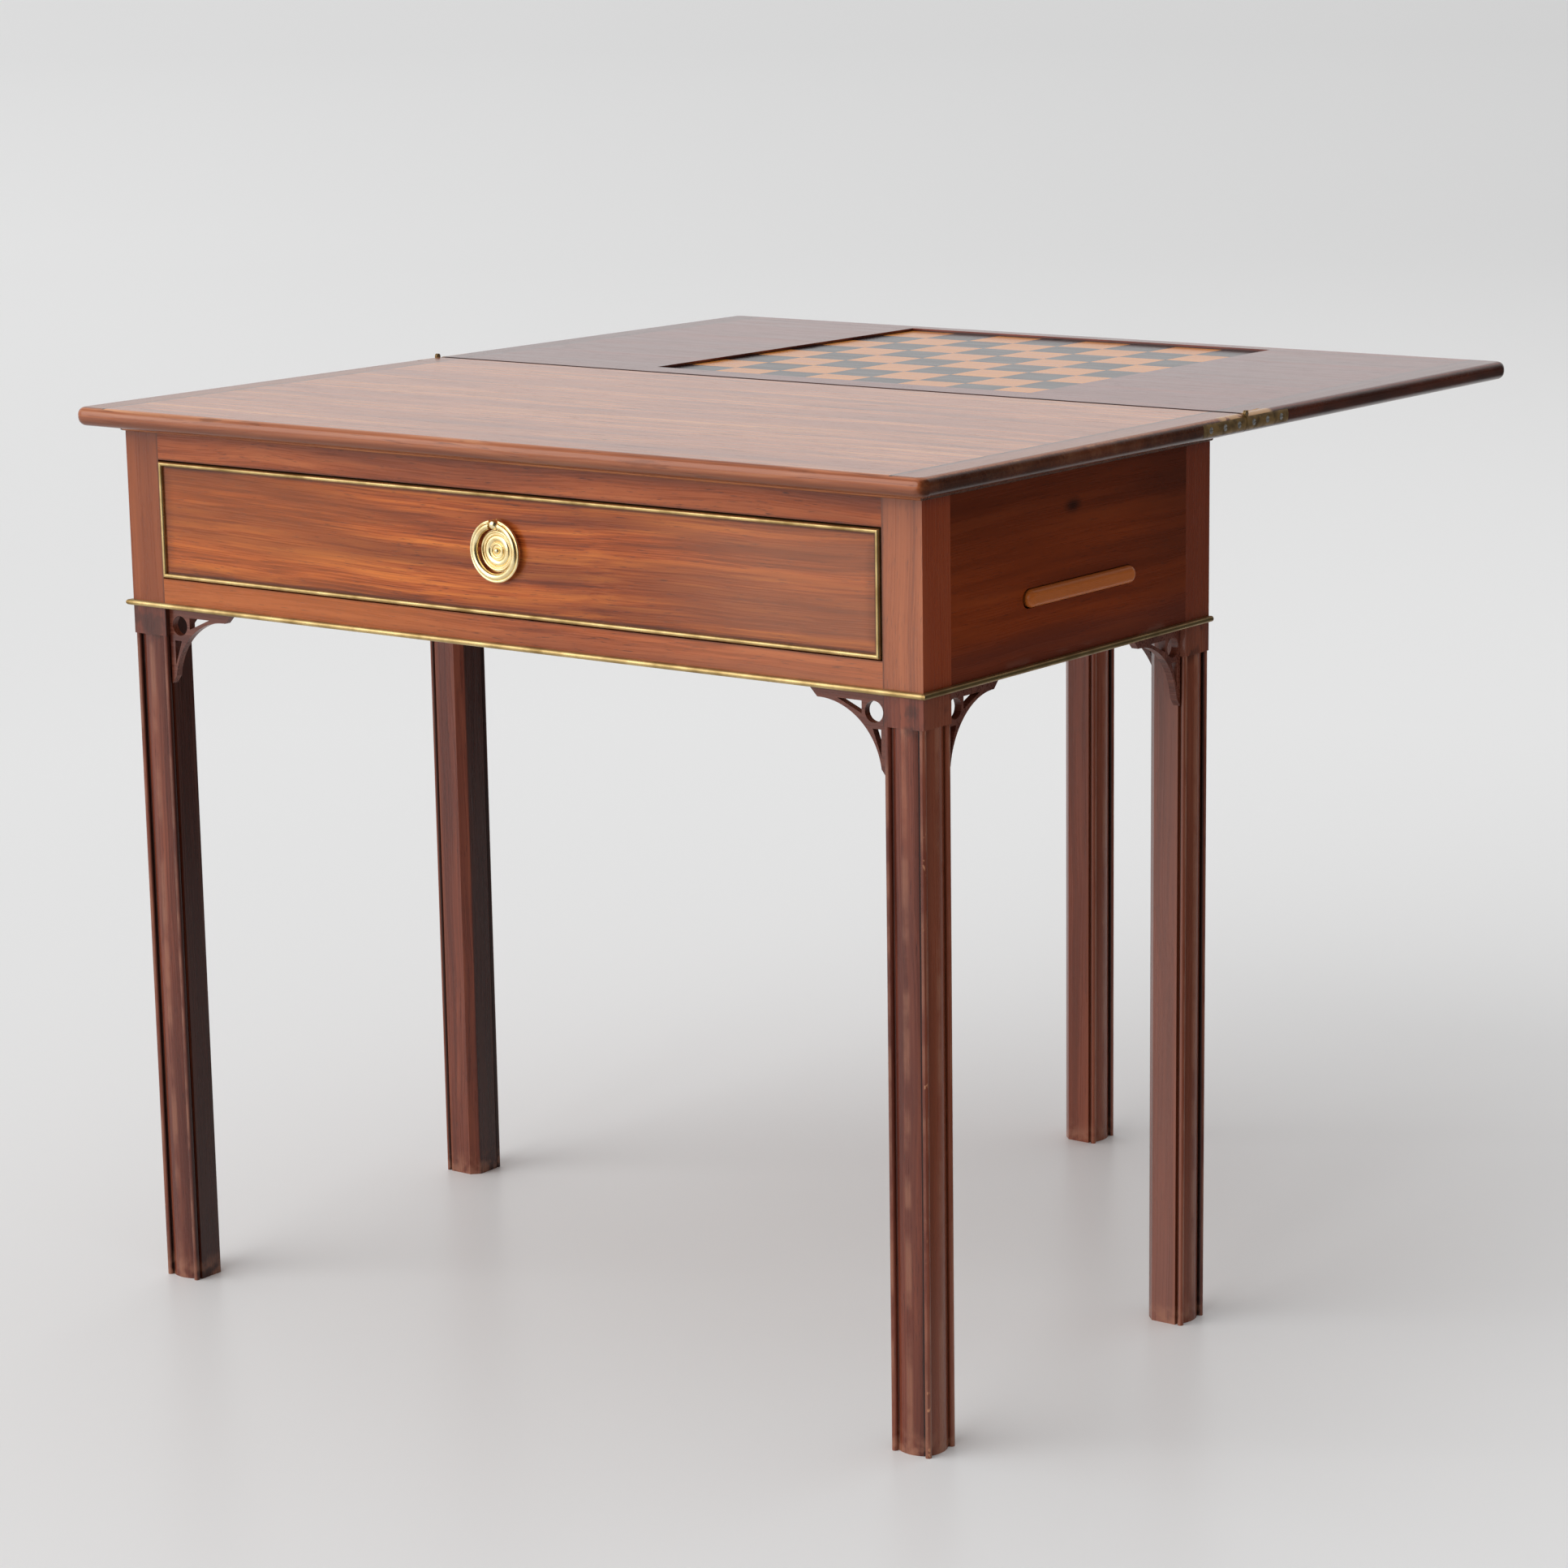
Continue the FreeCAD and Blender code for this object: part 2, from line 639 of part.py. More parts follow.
# Brass bead along the bottom of the apron, mitred at the front corners.
bead_z = ("apron_bottom", "apron_bottom + apron_bead")
mitre = "4 * apron_bead"
strip = nosed("bead_front", {
    "x": ("-half_frame - apron_bead", "half_frame + apron_bead"),
    "y": ("frame_front - apron_bead", "frame_front"),
    "z": bead_z,
}, "x", "y", -1)
ends = []
for side in (-1, 1):
    middle = "(half_frame + %s / 2) * %d" % (mitre, side)
    ends.append(diamond("bead_front_mitre_%d" % (side + 1), "z", mitre, middle,
                        "frame_front + %s / 2" % mitre, grown(bead_z, "apron_bead")))
keep("bead_front", cut("bead_front", strip, ends))
for hand, side in (("left", -1), ("right", 1)):
    label = "bead_" + hand
    strip = nosed(label, {
        "x": inward("half_frame * %d" % side, side, "-apron_bead", "0"),
        "y": ("frame_front - apron_bead", "frame_rear"),
        "z": bead_z,
    }, "y", "x", side)
    end = diamond(label + "_mitre", "z", mitre, "(half_frame - %s / 2) * %d" % (mitre, side),
                  "frame_front - %s / 2" % mitre, grown(bead_z, "apron_bead"))
    keep(label, cut(label, strip, [end]))

# Drawer front with its cockbead.
panel_x = ("cockbead_width - front_half", "front_half - cockbead_width")
panel_z = ("front_low + cockbead_width", "front_high - cockbead_width")
board = box("drawer_board", panel_x, ("frame_front", "front_back"), panel_z)
post_hole = rod("post_hole", "y", "post_shank + screw_play", "drawer_front_thickness",
                "0", "frame_front", "eye_z")
keep("drawer_front", cut("drawer_front", board, [post_hole]))
cock_y = ("frame_front - cockbead_proud", "front_back")
reach = "4 * cockbead_width"


def mitre_tool(name, side, end, level, sign):
    across = "front_half * %d + %s / 2 * %d" % (side, reach, side * sign)
    second = "%s - %s / 2 * %d" % (level, reach, end * sign)
    return diamond(name, "y", reach, across, second, grown(cock_y, "cockbead_width"))


for name, end, level in (("bottom", -1, "front_low"), ("top", 1, "front_high")):
    label = "cockbead_" + name
    z = inward(level, end, "0", "cockbead_width")
    strip = nosed(label, {"x": ("-front_half", "front_half"), "y": cock_y, "z": z}, "x", "y", -1)
    tools = [mitre_tool("%s_mitre_%d" % (label, side + 1), side, end, level, 1) for side in (-1, 1)]
    keep(label, cut(label, strip, tools))
for name, side in (("left", -1), ("right", 1)):
    label = "cockbead_" + name
    x = inward("front_half * %d" % side, side, "0", "cockbead_width")
    strip = nosed(label, {"x": x, "y": cock_y, "z": ("front_low", "front_high")}, "z", "y", -1)
    tools = []
    for end, level in ((-1, "front_low"), (1, "front_high")):
        tools.append(mitre_tool("%s_mitre_%d" % (label, end + 1), side, end, level, -1))
    keep(label, cut(label, strip, tools))

# Drawer box.
side_y = ("front_back", "box_rear")
groove_z = grown(("bottom_low", "bottom_high"), "groove_play")
for hand, side in (("left", -1), ("right", 1)):
    label = "drawer_side_" + hand
    face = "box_half * %d" % side
    wall_x = inward(face, side, "0", "drawer_side_thickness")
    wall = box(label + "_wall", wall_x, side_y, ("box_low", "box_high"))
    groove_floor = "drawer_side_thickness - groove_depth - groove_play"
    groove_x = inward(face, side, groove_floor, "2 * drawer_side_thickness")
    groove = box(label + "_groove", groove_x, side_y, groove_z)
    keep(label, cut(label, wall, [groove]))
keep("drawer_back", box("drawer_back", ("-box_inner", "box_inner"),
                        ("box_rear - drawer_side_thickness", "box_rear"),
                        ("bottom_high", "box_high - drawer_bottom_rise")))
keep("drawer_bottom", box("drawer_bottom", ("-box_inner - groove_depth", "box_inner + groove_depth"), side_y,
                          ("bottom_low", "bottom_high")))

# Ring pull.
plate_front = "frame_front - plate_thickness"
rings = []
for number, radius in enumerate(("plate_rim", "plate_inner_ring")):
    rings.append(hoop("plate_ring_%d" % number, radius, "plate_reed", "0", plate_front, "pull_z"))
rings.append(hoop("plate_swell", "plate_swell", "plate_swell_reed", "0", plate_front + " + plate_swell_sink",
                  "pull_z"))
disc = rod("plate_disc", "y", "plate_radius", "plate_thickness", "0", plate_front, "pull_z")
boss = ball("plate_boss", "plate_boss", "0", plate_front, "pull_z")
lump = fuse("plate_lump", [disc, boss] + rings)
room = box("plate_room", about("0", "4 * plate_radius"), ("frame_front", "frame_front + plate_radius"),
           about("pull_z", "4 * plate_radius"))
keep("pull_backplate", cut("pull_backplate", lump, [room]))

shank_length = "post_reach + drawer_front_thickness + 2 * nut_thickness"
collar_front = "frame_front - post_collar_height"
post = fuse("post_whole", [
    rod("post_shank", "y", "post_shank", shank_length, "0", "ring_y", "eye_z"),
    rod("post_collar", "y", "post_collar", "post_collar_height", "0", collar_front, "eye_z"),
    ball("post_head", "post_head", "0", "ring_y", "eye_z"),
])
eye = rod("post_eye", "x", "ring_pin_radius + pin_play", "4 * post_head", "-2 * post_head", "ring_y", "eye_z")
keep("pull_post", cut("pull_post", post, [eye]))

nut = doc.addObject("Part::Prism", "nut_blank")
nut.Polygon = 6
nut.Placement = FreeCAD.Placement(FreeCAD.Vector(), turned["y"])
bind(nut, "Circumradius", "nut_radius")
bind(nut, "Height", "nut_thickness")
put(nut, "0", "front_back", "eye_z")
thread = rod("nut_thread", "y", "post_shank + pin_play", "nut_thickness", "0", "front_back", "eye_z")
keep("pull_nut", cut("pull_nut", nut, [thread]))

reeds = fuse("ring_reeds", [
    hoop("ring_main", "ring_radius - ring_reed_in", "ring_reed", "0", "ring_y", "pull_z"),
    hoop("ring_outer", "ring_radius + ring_side_step", "ring_side_reed", "0", "ring_y", "pull_z"),
])
gap_half = "post_head + ring_play"
gap = box("ring_gap", about("0", "2 * (%s)" % gap_half), about("ring_y", "ring_radius"),
          ("pull_z + ring_radius / 2", "pull_z + 2 * ring_radius"))
pin_half = "post_head + 2 * ring_reed"
bar = rod("ring_pin", "x", "ring_pin_radius", "2 * (%s)" % pin_half, "-(%s)" % pin_half, "ring_y", "eye_z")
keep("pull_ring", fuse("pull_ring", [cut("ring_open", reeds, [gap]), bar]))

# Runners, guides and kickers for the drawer, and the screws that hold the lower leaf.
bay = ("flat_rail_back", "rear_rail_front")
screw_rows = ("flat_rail_back + top_screw_inset", "rear_rail_front - top_screw_inset")
runners = []
guides = []
kickers = []
stops = []
top_screws = []
leaf_holes = []
for hand, side in (("left", -1), ("right", 1)):
    face = "guide_outer * %d" % side
    lap = "guide_width + guide_play + runner_lap"
    runners.append(box("runner_" + hand, inward(face, side, "0", lap), bay,
                       ("drawer_floor - runner_height", "drawer_floor")))
    guides.append(box("guide_" + hand, inward(face, side, "0", "guide_width"), bay,
                      ("drawer_floor", "drawer_floor + guide_height")))
    kicker = box("kicker_" + hand, inward("box_half * %d" % side, side, "0", "runner_lap"), bay,
                 ("kicker_low", "leaf_bottom"))
    stops.append(box("stop_" + hand, about("(box_half - stop_inset) * %d" % side, "stop_length"),
                     ("front_back + stop_play", "front_back + stop_play + stop_depth"),
                     ("drawer_floor", "drawer_floor + stop_height")))
    holes = []
    for number, row_y in enumerate(screw_rows):
        place = ("kicker_middle * %d" % side, row_y)
        tag = "top_screw_%s_%d" % (hand, number)
        length = "leaf_bottom - kicker_low + top_screw_bite"
        head = rod(tag + "_head", "z", "top_screw_head", "top_screw_sink", *place, "kicker_low")
        shank = rod(tag + "_shank", "z", "top_screw_shank", length, *place, "kicker_low")
        top_screws.append(fuse(tag, [head, shank]))
        holes.append(rod(tag + "_sink", "z", "top_screw_head + screw_play",
                         "top_screw_sink + screw_play", *place, "kicker_low"))
        bore = rod(tag + "_bore", "z", "top_screw_shank + screw_play", length + " + screw_play", *place,
                   "kicker_low")
        holes.append(bore)
        leaf_holes.append(bore)
    kickers.append(cut("kicker_bored_" + hand, kicker, holes))
keep("drawer_runners", group("drawer_runners", runners))
keep("drawer_guides", group("drawer_guides", guides))
keep("drawer_kickers", group("drawer_kickers", kickers))
keep("drawer_stops", group("drawer_stops", stops))
keep("top_screws", group("top_screws", top_screws))

# Slides in the two side rails, their pegs and bearers.
bearers = []
for hand, side in (("left", -1), ("right", 1)):
    label = "candle_slide_" + hand
    inner = "candle_inner * %d" % side
    outer = "(half_frame + candle_proud) * %d" % side
    x = (inner, outer) if side > 0 else (outer, inner)
    radius = "candle_thickness / 2"
    length = "half_frame + candle_proud - candle_inner"
    board = fuse(label + "_board", [
        box(label + "_bar", x, ("candle_front + " + radius, "candle_back - " + radius),
            ("candle_low", "candle_high")),
        rod(label + "_front", "x", radius, length, x[0], "candle_front + " + radius, "candle_mid"),
        rod(label + "_back", "x", radius, length, x[0], "candle_back - " + radius, "candle_mid"),
    ])
    nose_x = value(outer)
    smooth = rounded(label + "_smooth", board, value("candle_nose"),
                     lambda room: abs(room.XMin - nose_x) < close and abs(room.XMax - nose_x) < close)
    peg_place = ("(candle_inner + peg_inset) * %d" % side, "candle_y")
    hole = rod(label + "_hole", "z", "peg_radius + pin_play", "candle_thickness", *peg_place,
               "candle_high - peg_depth")
    keep(label, cut(label, smooth, [hole]))
    keep("candle_peg_" + hand, rod("candle_peg_" + hand, "z", "peg_radius", "peg_depth + peg_stand",
                                   *peg_place, "candle_high - peg_depth"))
    span = inward("rail_inner * %d" % side, side, "0", "rail_inner - guide_outer")
    for end, edge, way in (("front", "candle_front", -1), ("back", "candle_back", 1)):
        tag = "bearer_%s_%s" % (hand, end)
        wall = "-candle_play - bearer_wall"
        whole = box(tag + "_bar", span, inward(edge, way, wall, "bearer_lip"),
                    grown(("candle_low", "candle_high"), "bearer_play + bearer_wall"))
        groove = box(tag + "_groove", grown(span, "bearer_play"),
                     inward(edge, way, "-candle_play", "2 * bearer_lip"),
                     grown(("candle_low", "candle_high"), "bearer_play"))
        bearers.append(cut(tag, whole, [groove]))
keep("candle_bearers", group("candle_bearers", bearers))

# Leaves, each with rounded edges on three sides, a worn arris at the joint and hinges let into the ends.
leaf_z = ("leaf_bottom", "table_height")
screw_z = "(hinge_low + hinge_high) / 2"
pins = []
for leaf, way in (("lower", -1), ("upper", 1)):
    free_edge = value("leaf_depth") * way
    joint_edge = value("joint_gap") / 2 * way
    y = inward("leaf_depth * %d" % way, way, "0", "leaf_depth - joint_gap / 2")
    slab = box(leaf + "_slab", ("-half_top", "half_top"), y, leaf_z)
    corners = rounded(leaf + "_corners", slab, value("corner_radius"),
                      lambda room: room.ZLength > 1 and abs(room.YMin - free_edge) < close)
    blank = corners
    for edge, level in (("top", "table_height"), ("bottom", "leaf_bottom")):
        blank = rounded("%s_%s_nosing" % (leaf, edge), blank, value("nosing_" + edge),
                        lambda room: room.ZLength < close and abs(room.ZMin - value(level)) < close and not (
                            abs(room.YMin - joint_edge) < close and abs(room.YMax - joint_edge) < close))
    tools = [diamond(leaf + "_arris", "x", leaf + "_arris", "joint_gap / 2 * %d" % way, "table_height",
                     grown(("-half_top", "half_top"), "joint_gap"))]
    screws = []
    for hand, side in (("left", -1), ("right", 1)):
        tag = "%s_%s" % (leaf, hand)
        face = "half_top * %d" % side
        notch_x = inward(face, side, "-hinge_depth", "hinge_depth")
        flush = "joint_gap / 2"
        notch_y = inward("hinge_length * %d" % way, way, "-hinge_play", "hinge_length")
        plate_y = inward("hinge_length * %d" % way, way, "0", "hinge_length - " + flush)
        plate_z = ("hinge_low", "hinge_high")
        ear_x = {
            "lower": inward(face, side, "hinge_depth - ear_thickness", "hinge_depth"),
            "upper": inward(face, side, "0", "ear_thickness"),
        }
        tools.append(box("notch_" + tag, notch_x, notch_y, grown(plate_z, "hinge_play")))
        tools.append(rod("ear_room_" + tag, "x", "ear_room", "2 * hinge_depth", notch_x[0], "0", "hinge_z"))
        plate = common("plate_" + tag, blank, box("plate_blank_" + tag, notch_x, plate_y, plate_z))
        if leaf == "lower":
            clear_x = inward(face, side, "-hinge_depth", "hinge_depth - ear_thickness")
        else:
            clear_x = inward(face, side, "ear_thickness", "2 * hinge_depth")
        clear_length = "(%s) - (%s)" % (clear_x[1], clear_x[0])
        holes = [rod("ear_clear_" + tag, "x", "ear_room", clear_length, clear_x[0], "0", "hinge_z")]
        for number in range(3):
            screw = "hinge_screw_%s_%d" % (tag, number)
            at_y = "(hinge_screw_first + %d * hinge_screw_pitch) * %d" % (number, way)
            head_x = inward(face, side, "0", "hinge_screw_sink")
            shank_x = inward(face, side, "0", "hinge_screw_length")
            head = rod(screw + "_head", "x", "hinge_screw_head", "hinge_screw_sink", head_x[0], at_y, screw_z)
            shank = rod(screw + "_shank", "x", "hinge_screw_shank", "hinge_screw_length",
                        shank_x[0], at_y, screw_z)
            slot = box(screw + "_slot", inward(face, side, "-hinge_screw_sink", "hinge_screw_sink / 2"),
                       about(at_y, "3 * hinge_screw_head"), about(screw_z, "screw_slot"))
            screws.append(cut(screw, fuse(screw + "_whole", [head, shank]), [slot]))
            sink_x = inward(face, side, "-hinge_depth", "hinge_screw_sink")
            holes.append(rod(screw + "_sink", "x", "hinge_screw_head + screw_play",
                             "hinge_depth + hinge_screw_sink", sink_x[0], at_y, screw_z))
            bore_x = inward(face, side, "-screw_play", "hinge_screw_length + screw_play")
            bore = rod(screw + "_bore", "x", "hinge_screw_shank + screw_play",
                       "hinge_screw_length + 2 * screw_play", bore_x[0], at_y, screw_z)
            holes.append(bore)
            tools.append(bore)
        neck_reach = "ear_radius - ear_play"
        neck_y = inward("(%s) * %d" % (neck_reach, way), way, "0", "%s - %s" % (neck_reach, flush))
        neck = box("neck_" + tag, ear_x[leaf], neck_y, ("hinge_high - ear_thickness", "hinge_z"))
        ear = rod("ear_" + tag, "x", "ear_radius", "ear_thickness", ear_x[leaf][0], "0", "hinge_z")
        eye = rod("eye_" + tag, "x", "hinge_pin_radius + hinge_pin_play", "4 * hinge_depth",
                  depth(face, side, "2 * hinge_depth") if side > 0 else depth(face, side, "-2 * hinge_depth"),
                  "0", "hinge_z")
        eared = fuse("eared_" + tag, [cut("cleared_" + tag, plate, holes), neck, ear])
        keep("hinge_%s_%s" % (leaf, hand), cut("hinge_" + tag, eared, [eye]))
        if leaf == "lower":
            pin_x = inward(face, side, "0", "hinge_depth")
            pins.append(rod("hinge_pin_" + hand, "x", "hinge_pin_radius", "hinge_depth",
                            pin_x[0], "0", "hinge_z"))
    if leaf == "lower":
        tools.extend(leaf_holes)
    else:
        well_x = about("0", "2 * (board_half + board_play)")
        well_y = about("board_front + board_half", "2 * (board_half + board_play)")
        tools.append(box("well", well_x, well_y, ("ground_low", "table_height + board_sink")))
    keep(leaf + "_leaf", cut(leaf + "_leaf", blank, tools))
    keep("hinge_screws_" + leaf, group("hinge_screws_" + leaf, screws))
keep("hinge_pins", group("hinge_pins", pins))

# Chess board in the well; the square nearest the joint on the left is dark.
keep("chess_ground", box("chess_ground", ("-board_half", "board_half"),
                         ("board_front", "board_front + board_depth"), ("ground_low", "square_low")))
squares = {"chess_dark_squares": [], "chess_light_squares": []}
for column in range(board_side):
    for line in range(board_side):
        shade = "chess_light_squares" if (column + line) % 2 else "chess_dark_squares"
        middle_x = "(%d + 0.5) * square_size - board_half" % column
        middle_y = "board_front + (%d + 0.5) * square_size" % line
        squares[shade].append(box("square_%d_%d" % (column, line),
                                  about(middle_x, "square_size - square_gap"),
                                  about(middle_y, "square_size - square_gap"),
                                  ("square_low", "square_low + square_thickness")))
for label, tiles in squares.items():
    keep(label, group(label, tiles))

doc.recompute()
os.makedirs("parts", exist_ok=True)
for thing in doc.Objects:
    if "Invalid" in thing.State or "Error" in thing.State:
        raise RuntimeError("%s did not build" % thing.Label)
for thing in pieces:
    if thing.Shape.isNull() or not thing.Shape.isValid():
        raise RuntimeError("%s has no valid shape" % thing.Label)
for thing in pieces:
    thing.Shape.exportStep("parts/%s.step" % thing.Label)
print("%d pieces written" % len(pieces))
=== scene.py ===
import math
import bmesh
import bpy
from mathutils import Matrix, Vector


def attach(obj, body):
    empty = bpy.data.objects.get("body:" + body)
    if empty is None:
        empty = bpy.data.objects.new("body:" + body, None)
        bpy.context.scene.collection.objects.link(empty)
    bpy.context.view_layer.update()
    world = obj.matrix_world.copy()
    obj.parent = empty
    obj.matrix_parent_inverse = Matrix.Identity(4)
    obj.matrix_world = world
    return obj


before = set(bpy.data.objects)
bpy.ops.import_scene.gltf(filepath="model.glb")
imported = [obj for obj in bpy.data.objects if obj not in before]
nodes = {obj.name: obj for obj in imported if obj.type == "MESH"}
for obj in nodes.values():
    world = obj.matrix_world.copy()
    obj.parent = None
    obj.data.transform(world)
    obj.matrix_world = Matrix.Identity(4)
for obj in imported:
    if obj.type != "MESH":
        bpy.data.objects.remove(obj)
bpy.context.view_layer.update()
print("frame loaded:", len(nodes), "nodes")


def hexToLinear(text):
    channels = []
    for start in (1, 3, 5):
        share = int(text[start:start + 2], 16) / 255
        channels.append(share / 12.92 if share <= 0.04045 else ((share + 0.055) / 1.055) ** 2.4)
    return (*channels, 1.0)


# one node with its settings and links: an input is a number, a colour or another node's output, _0 is the
# first input, and the stops of a colour ramp are a setting
def addNode(tree, kind, settings=None, **inputs):
    node = tree.nodes.new(kind)
    for key, setting in (settings or {}).items():
        if key == "stops":
            steps = node.color_ramp.elements
            for at, colour in setting[1:-1]:
                steps.new(at)
            for step, (at, colour) in zip(steps, setting):
                step.position, step.color = at, colour
        else:
            setattr(node, key, setting)
    for key, given in inputs.items():
        socket = node.inputs[int(key[1:])] if key[1:].isdigit() else node.inputs[key.replace("_", " ")]
        if isinstance(given, bpy.types.NodeSocket):
            tree.links.new(given, socket)
        else:
            socket.default_value = given
    return node


def newMaterial(name):
    material = bpy.data.materials.new(name)
    material.use_nodes = True
    tree = material.node_tree
    tree.nodes.clear()
    return material, tree


def closeMaterial(tree, shader):
    output = addNode(tree, "ShaderNodeOutputMaterial")
    tree.links.new(shader.outputs[0], output.inputs["Surface"])


def objectPlace(tree):
    return addNode(tree, "ShaderNodeTexCoord").outputs["Object"]


# x, y and z from a middle; folded, both sides of it count the same way, and half puts zero out at the edge
def axesFrom(tree, place, middle=None, folded=False, half=None):
    if middle:
        place = addNode(tree, "ShaderNodeVectorMath", {"operation": "SUBTRACT"}, _0=place, _1=middle).outputs[0]
    if folded:
        place = addNode(tree, "ShaderNodeVectorMath", {"operation": "ABSOLUTE"}, _0=place).outputs[0]
    if half:
        place = addNode(tree, "ShaderNodeVectorMath", {"operation": "SUBTRACT"}, _0=place, _1=half).outputs[0]
    return addNode(tree, "ShaderNodeSeparateXYZ", Vector=place).outputs


# where masks overlap; each is a mask, a number, or a fade (coordinate, start, end) from 0 at start to 1 at end
def overlap(tree, *masks):
    product = None
    for mask in masks:
        if isinstance(mask, tuple):
            coordinate, start, end = mask
            mask = addNode(tree, "ShaderNodeMapRange", {"interpolation_type": "SMOOTHSTEP"}, Value=coordinate,
                           From_Min=start, From_Max=end).outputs[0]
        if product is None:
            product = mask
        else:
            product = addNode(tree, "ShaderNodeMath", {"operation": "MULTIPLY"}, _0=product, _1=mask).outputs[0]
    return product


# the two fades that leave only a span of a coordinate
def between(coordinate, low, high, soft):
    return (coordinate, low - soft, low + soft), (coordinate, high + soft, high - soft)


# a stain (tint, share) on a colour where the masks overlap; a stain (tint, share, start, end) also comes in
# between those two values of the coordinate that it goes along
def stain(tree, colour, row, *masks, along=None):
    tint, share, *span = row
    if span:
        masks = ((along, *span), *masks)
    return addNode(tree, "ShaderNodeMix", {"data_type": "RGBA"}, _0=overlap(tree, *masks, share),
                   _6=colour, _7=hexToLinear(tint)).outputs[2]


# ragged patches, size in millimetres: 1 where the noise is above the level; draw under 1 makes them longer
def patches(tree, place, size, level, soft=0.05, draw=None):
    if draw:
        place = addNode(tree, "ShaderNodeVectorMath", {"operation": "MULTIPLY"}, _0=place, _1=draw).outputs[0]
    noise = addNode(tree, "ShaderNodeTexNoise", Vector=place, Scale=1000 / size, Detail=4.0)
    return overlap(tree, (noise.outputs[0], level - soft, level + soft))


def paint(material, *names):
    for name in names:
        slots = nodes[name].data.materials
        slots.clear()
        slots.append(material)


# turn that lays the grain along the texture's own x
grainTurn = {"x": (0, 0, 0), "y": (0, 0, math.radians(-90)), "z": (0, math.radians(90), 0)}
# the same for every wood: levels of the noise, depth of the relief in metres, and the polish's IOR
polishSpec = {"noiseRoughness": 0.55, "deepTone": (0.42, 0.66), "poreDots": (0.60, 0.72),
              "sheenSpan": (0.3, 0.7), "relief": 0.0004, "ior": 1.5}


# figured wood: slow change of tone, broad bands, streaks and short pores, each (along, across, detail) with its
# sizes in millimetres; real pores are about 0.2 mm across, and these are drawn coarser so that they show
def woodColour(tree, spec, place):
    turn = addNode(tree, "ShaderNodeMapping", Vector=place, Rotation=grainTurn[spec["grain"]],
                   Location=spec.get("shift", (0, 0, 0)))
    wave = addNode(tree, "ShaderNodeTexNoise", Vector=turn.outputs[0], Scale=1000 / spec["waveSize"], Detail=2.0)
    reach = spec["waveReach"] / 1000
    bent = addNode(tree, "ShaderNodeVectorMath", {"operation": "MULTIPLY_ADD"}, _0=wave.outputs["Color"],
                   _1=(0, reach, reach), _2=turn.outputs[0])
    layers = []
    for along, across, detail in (spec["tone"], spec["band"], spec["streak"], spec["pore"]):
        fine = addNode(tree, "ShaderNodeVectorMath", {"operation": "MULTIPLY"}, _0=bent.outputs[0],
                       _1=(1000 / along, 1000 / across, 1000 / across))
        layers.append(addNode(tree, "ShaderNodeTexNoise", Vector=fine.outputs[0], Scale=1.0, Detail=detail,
                              Roughness=polishSpec["noiseRoughness"]).outputs[0])
    tone, band, streak, pore = layers
    broad = overlap(tree, band, 1 - spec["streakShare"])
    figure = addNode(tree, "ShaderNodeMath", {"operation": "MULTIPLY_ADD"}, _0=streak, _1=spec["streakShare"],
                     _2=broad).outputs[0]
    low, high = spec["spread"]
    shades = [hexToLinear(spec[shade]) for shade in ("dark", "middle", "light")]
    stops = list(zip((low, (low + high) / 2, high), shades))
    colour = addNode(tree, "ShaderNodeValToRGB", {"stops": stops}, _0=figure).outputs[0]
    colour = stain(tree, colour, (spec["toneTint"], spec["toneShare"], *polishSpec["deepTone"]), along=tone)
    dots = overlap(tree, (pore, *polishSpec["poreDots"]))
    colour = stain(tree, colour, (spec["poreTint"], spec["poreShare"]), dots)
    return colour, figure, dots


def woodShader(tree, spec, colour, figure, pores):
    low, high = polishSpec["sheenSpan"]
    sheen = addNode(tree, "ShaderNodeMapRange", Value=figure, From_Min=low, From_Max=high,
                    To_Min=spec["gloss"][0], To_Max=spec["gloss"][1])
    relief = addNode(tree, "ShaderNodeMath", {"operation": "MULTIPLY_ADD"}, _0=pores, _1=-1.0, _2=figure)
    bump = addNode(tree, "ShaderNodeBump", Strength=spec["bump"], Distance=polishSpec["relief"],
                   Height=relief.outputs[0])
    shader = addNode(tree, "ShaderNodeBsdfPrincipled", Base_Color=colour, Roughness=sheen.outputs[0],
                     Normal=bump.outputs[0], IOR=polishSpec["ior"], Specular_IOR_Level=spec["shine"])
    closeMaterial(tree, shader)


def plainWood(name, spec):
    material, tree = newMaterial(name)
    woodShader(tree, spec, *woodColour(tree, spec, objectPlace(tree)))
    return material


# camera found from the photograph's edges, metres and degrees, for a square image
cameraSpec = {
    "place": (2.0583, -2.8000, 1.1188),
    "azimuth": -35.123,
    "down": 12.547,
    "roll": -0.522,
    "lens": 96.61,
    "sensor": 36,
    "shift": (-0.0783, 0.0336),
}
azimuth, down, roll = (math.radians(cameraSpec[key]) for key in ("azimuth", "down", "roll"))
forward = Vector((math.cos(down) * math.sin(azimuth), math.cos(down) * math.cos(azimuth), -math.sin(down)))
level = Vector((math.cos(azimuth), -math.sin(azimuth), 0))
upright = level.cross(forward)
right = math.cos(roll) * level + math.sin(roll) * upright
above = -math.sin(roll) * level + math.cos(roll) * upright
cameraData = bpy.data.cameras.new("camera")
cameraData.sensor_width = cameraSpec["sensor"]
cameraData.lens = cameraSpec["lens"]
cameraData.shift_x, cameraData.shift_y = cameraSpec["shift"]
camera = bpy.data.objects.new("camera", cameraData)
bpy.context.scene.collection.objects.link(camera)
aim = Matrix((right, above, -forward)).transposed().to_4x4()
camera.matrix_world = Matrix.Translation(cameraSpec["place"]) @ aim
bpy.context.scene.camera = camera
print("camera set")

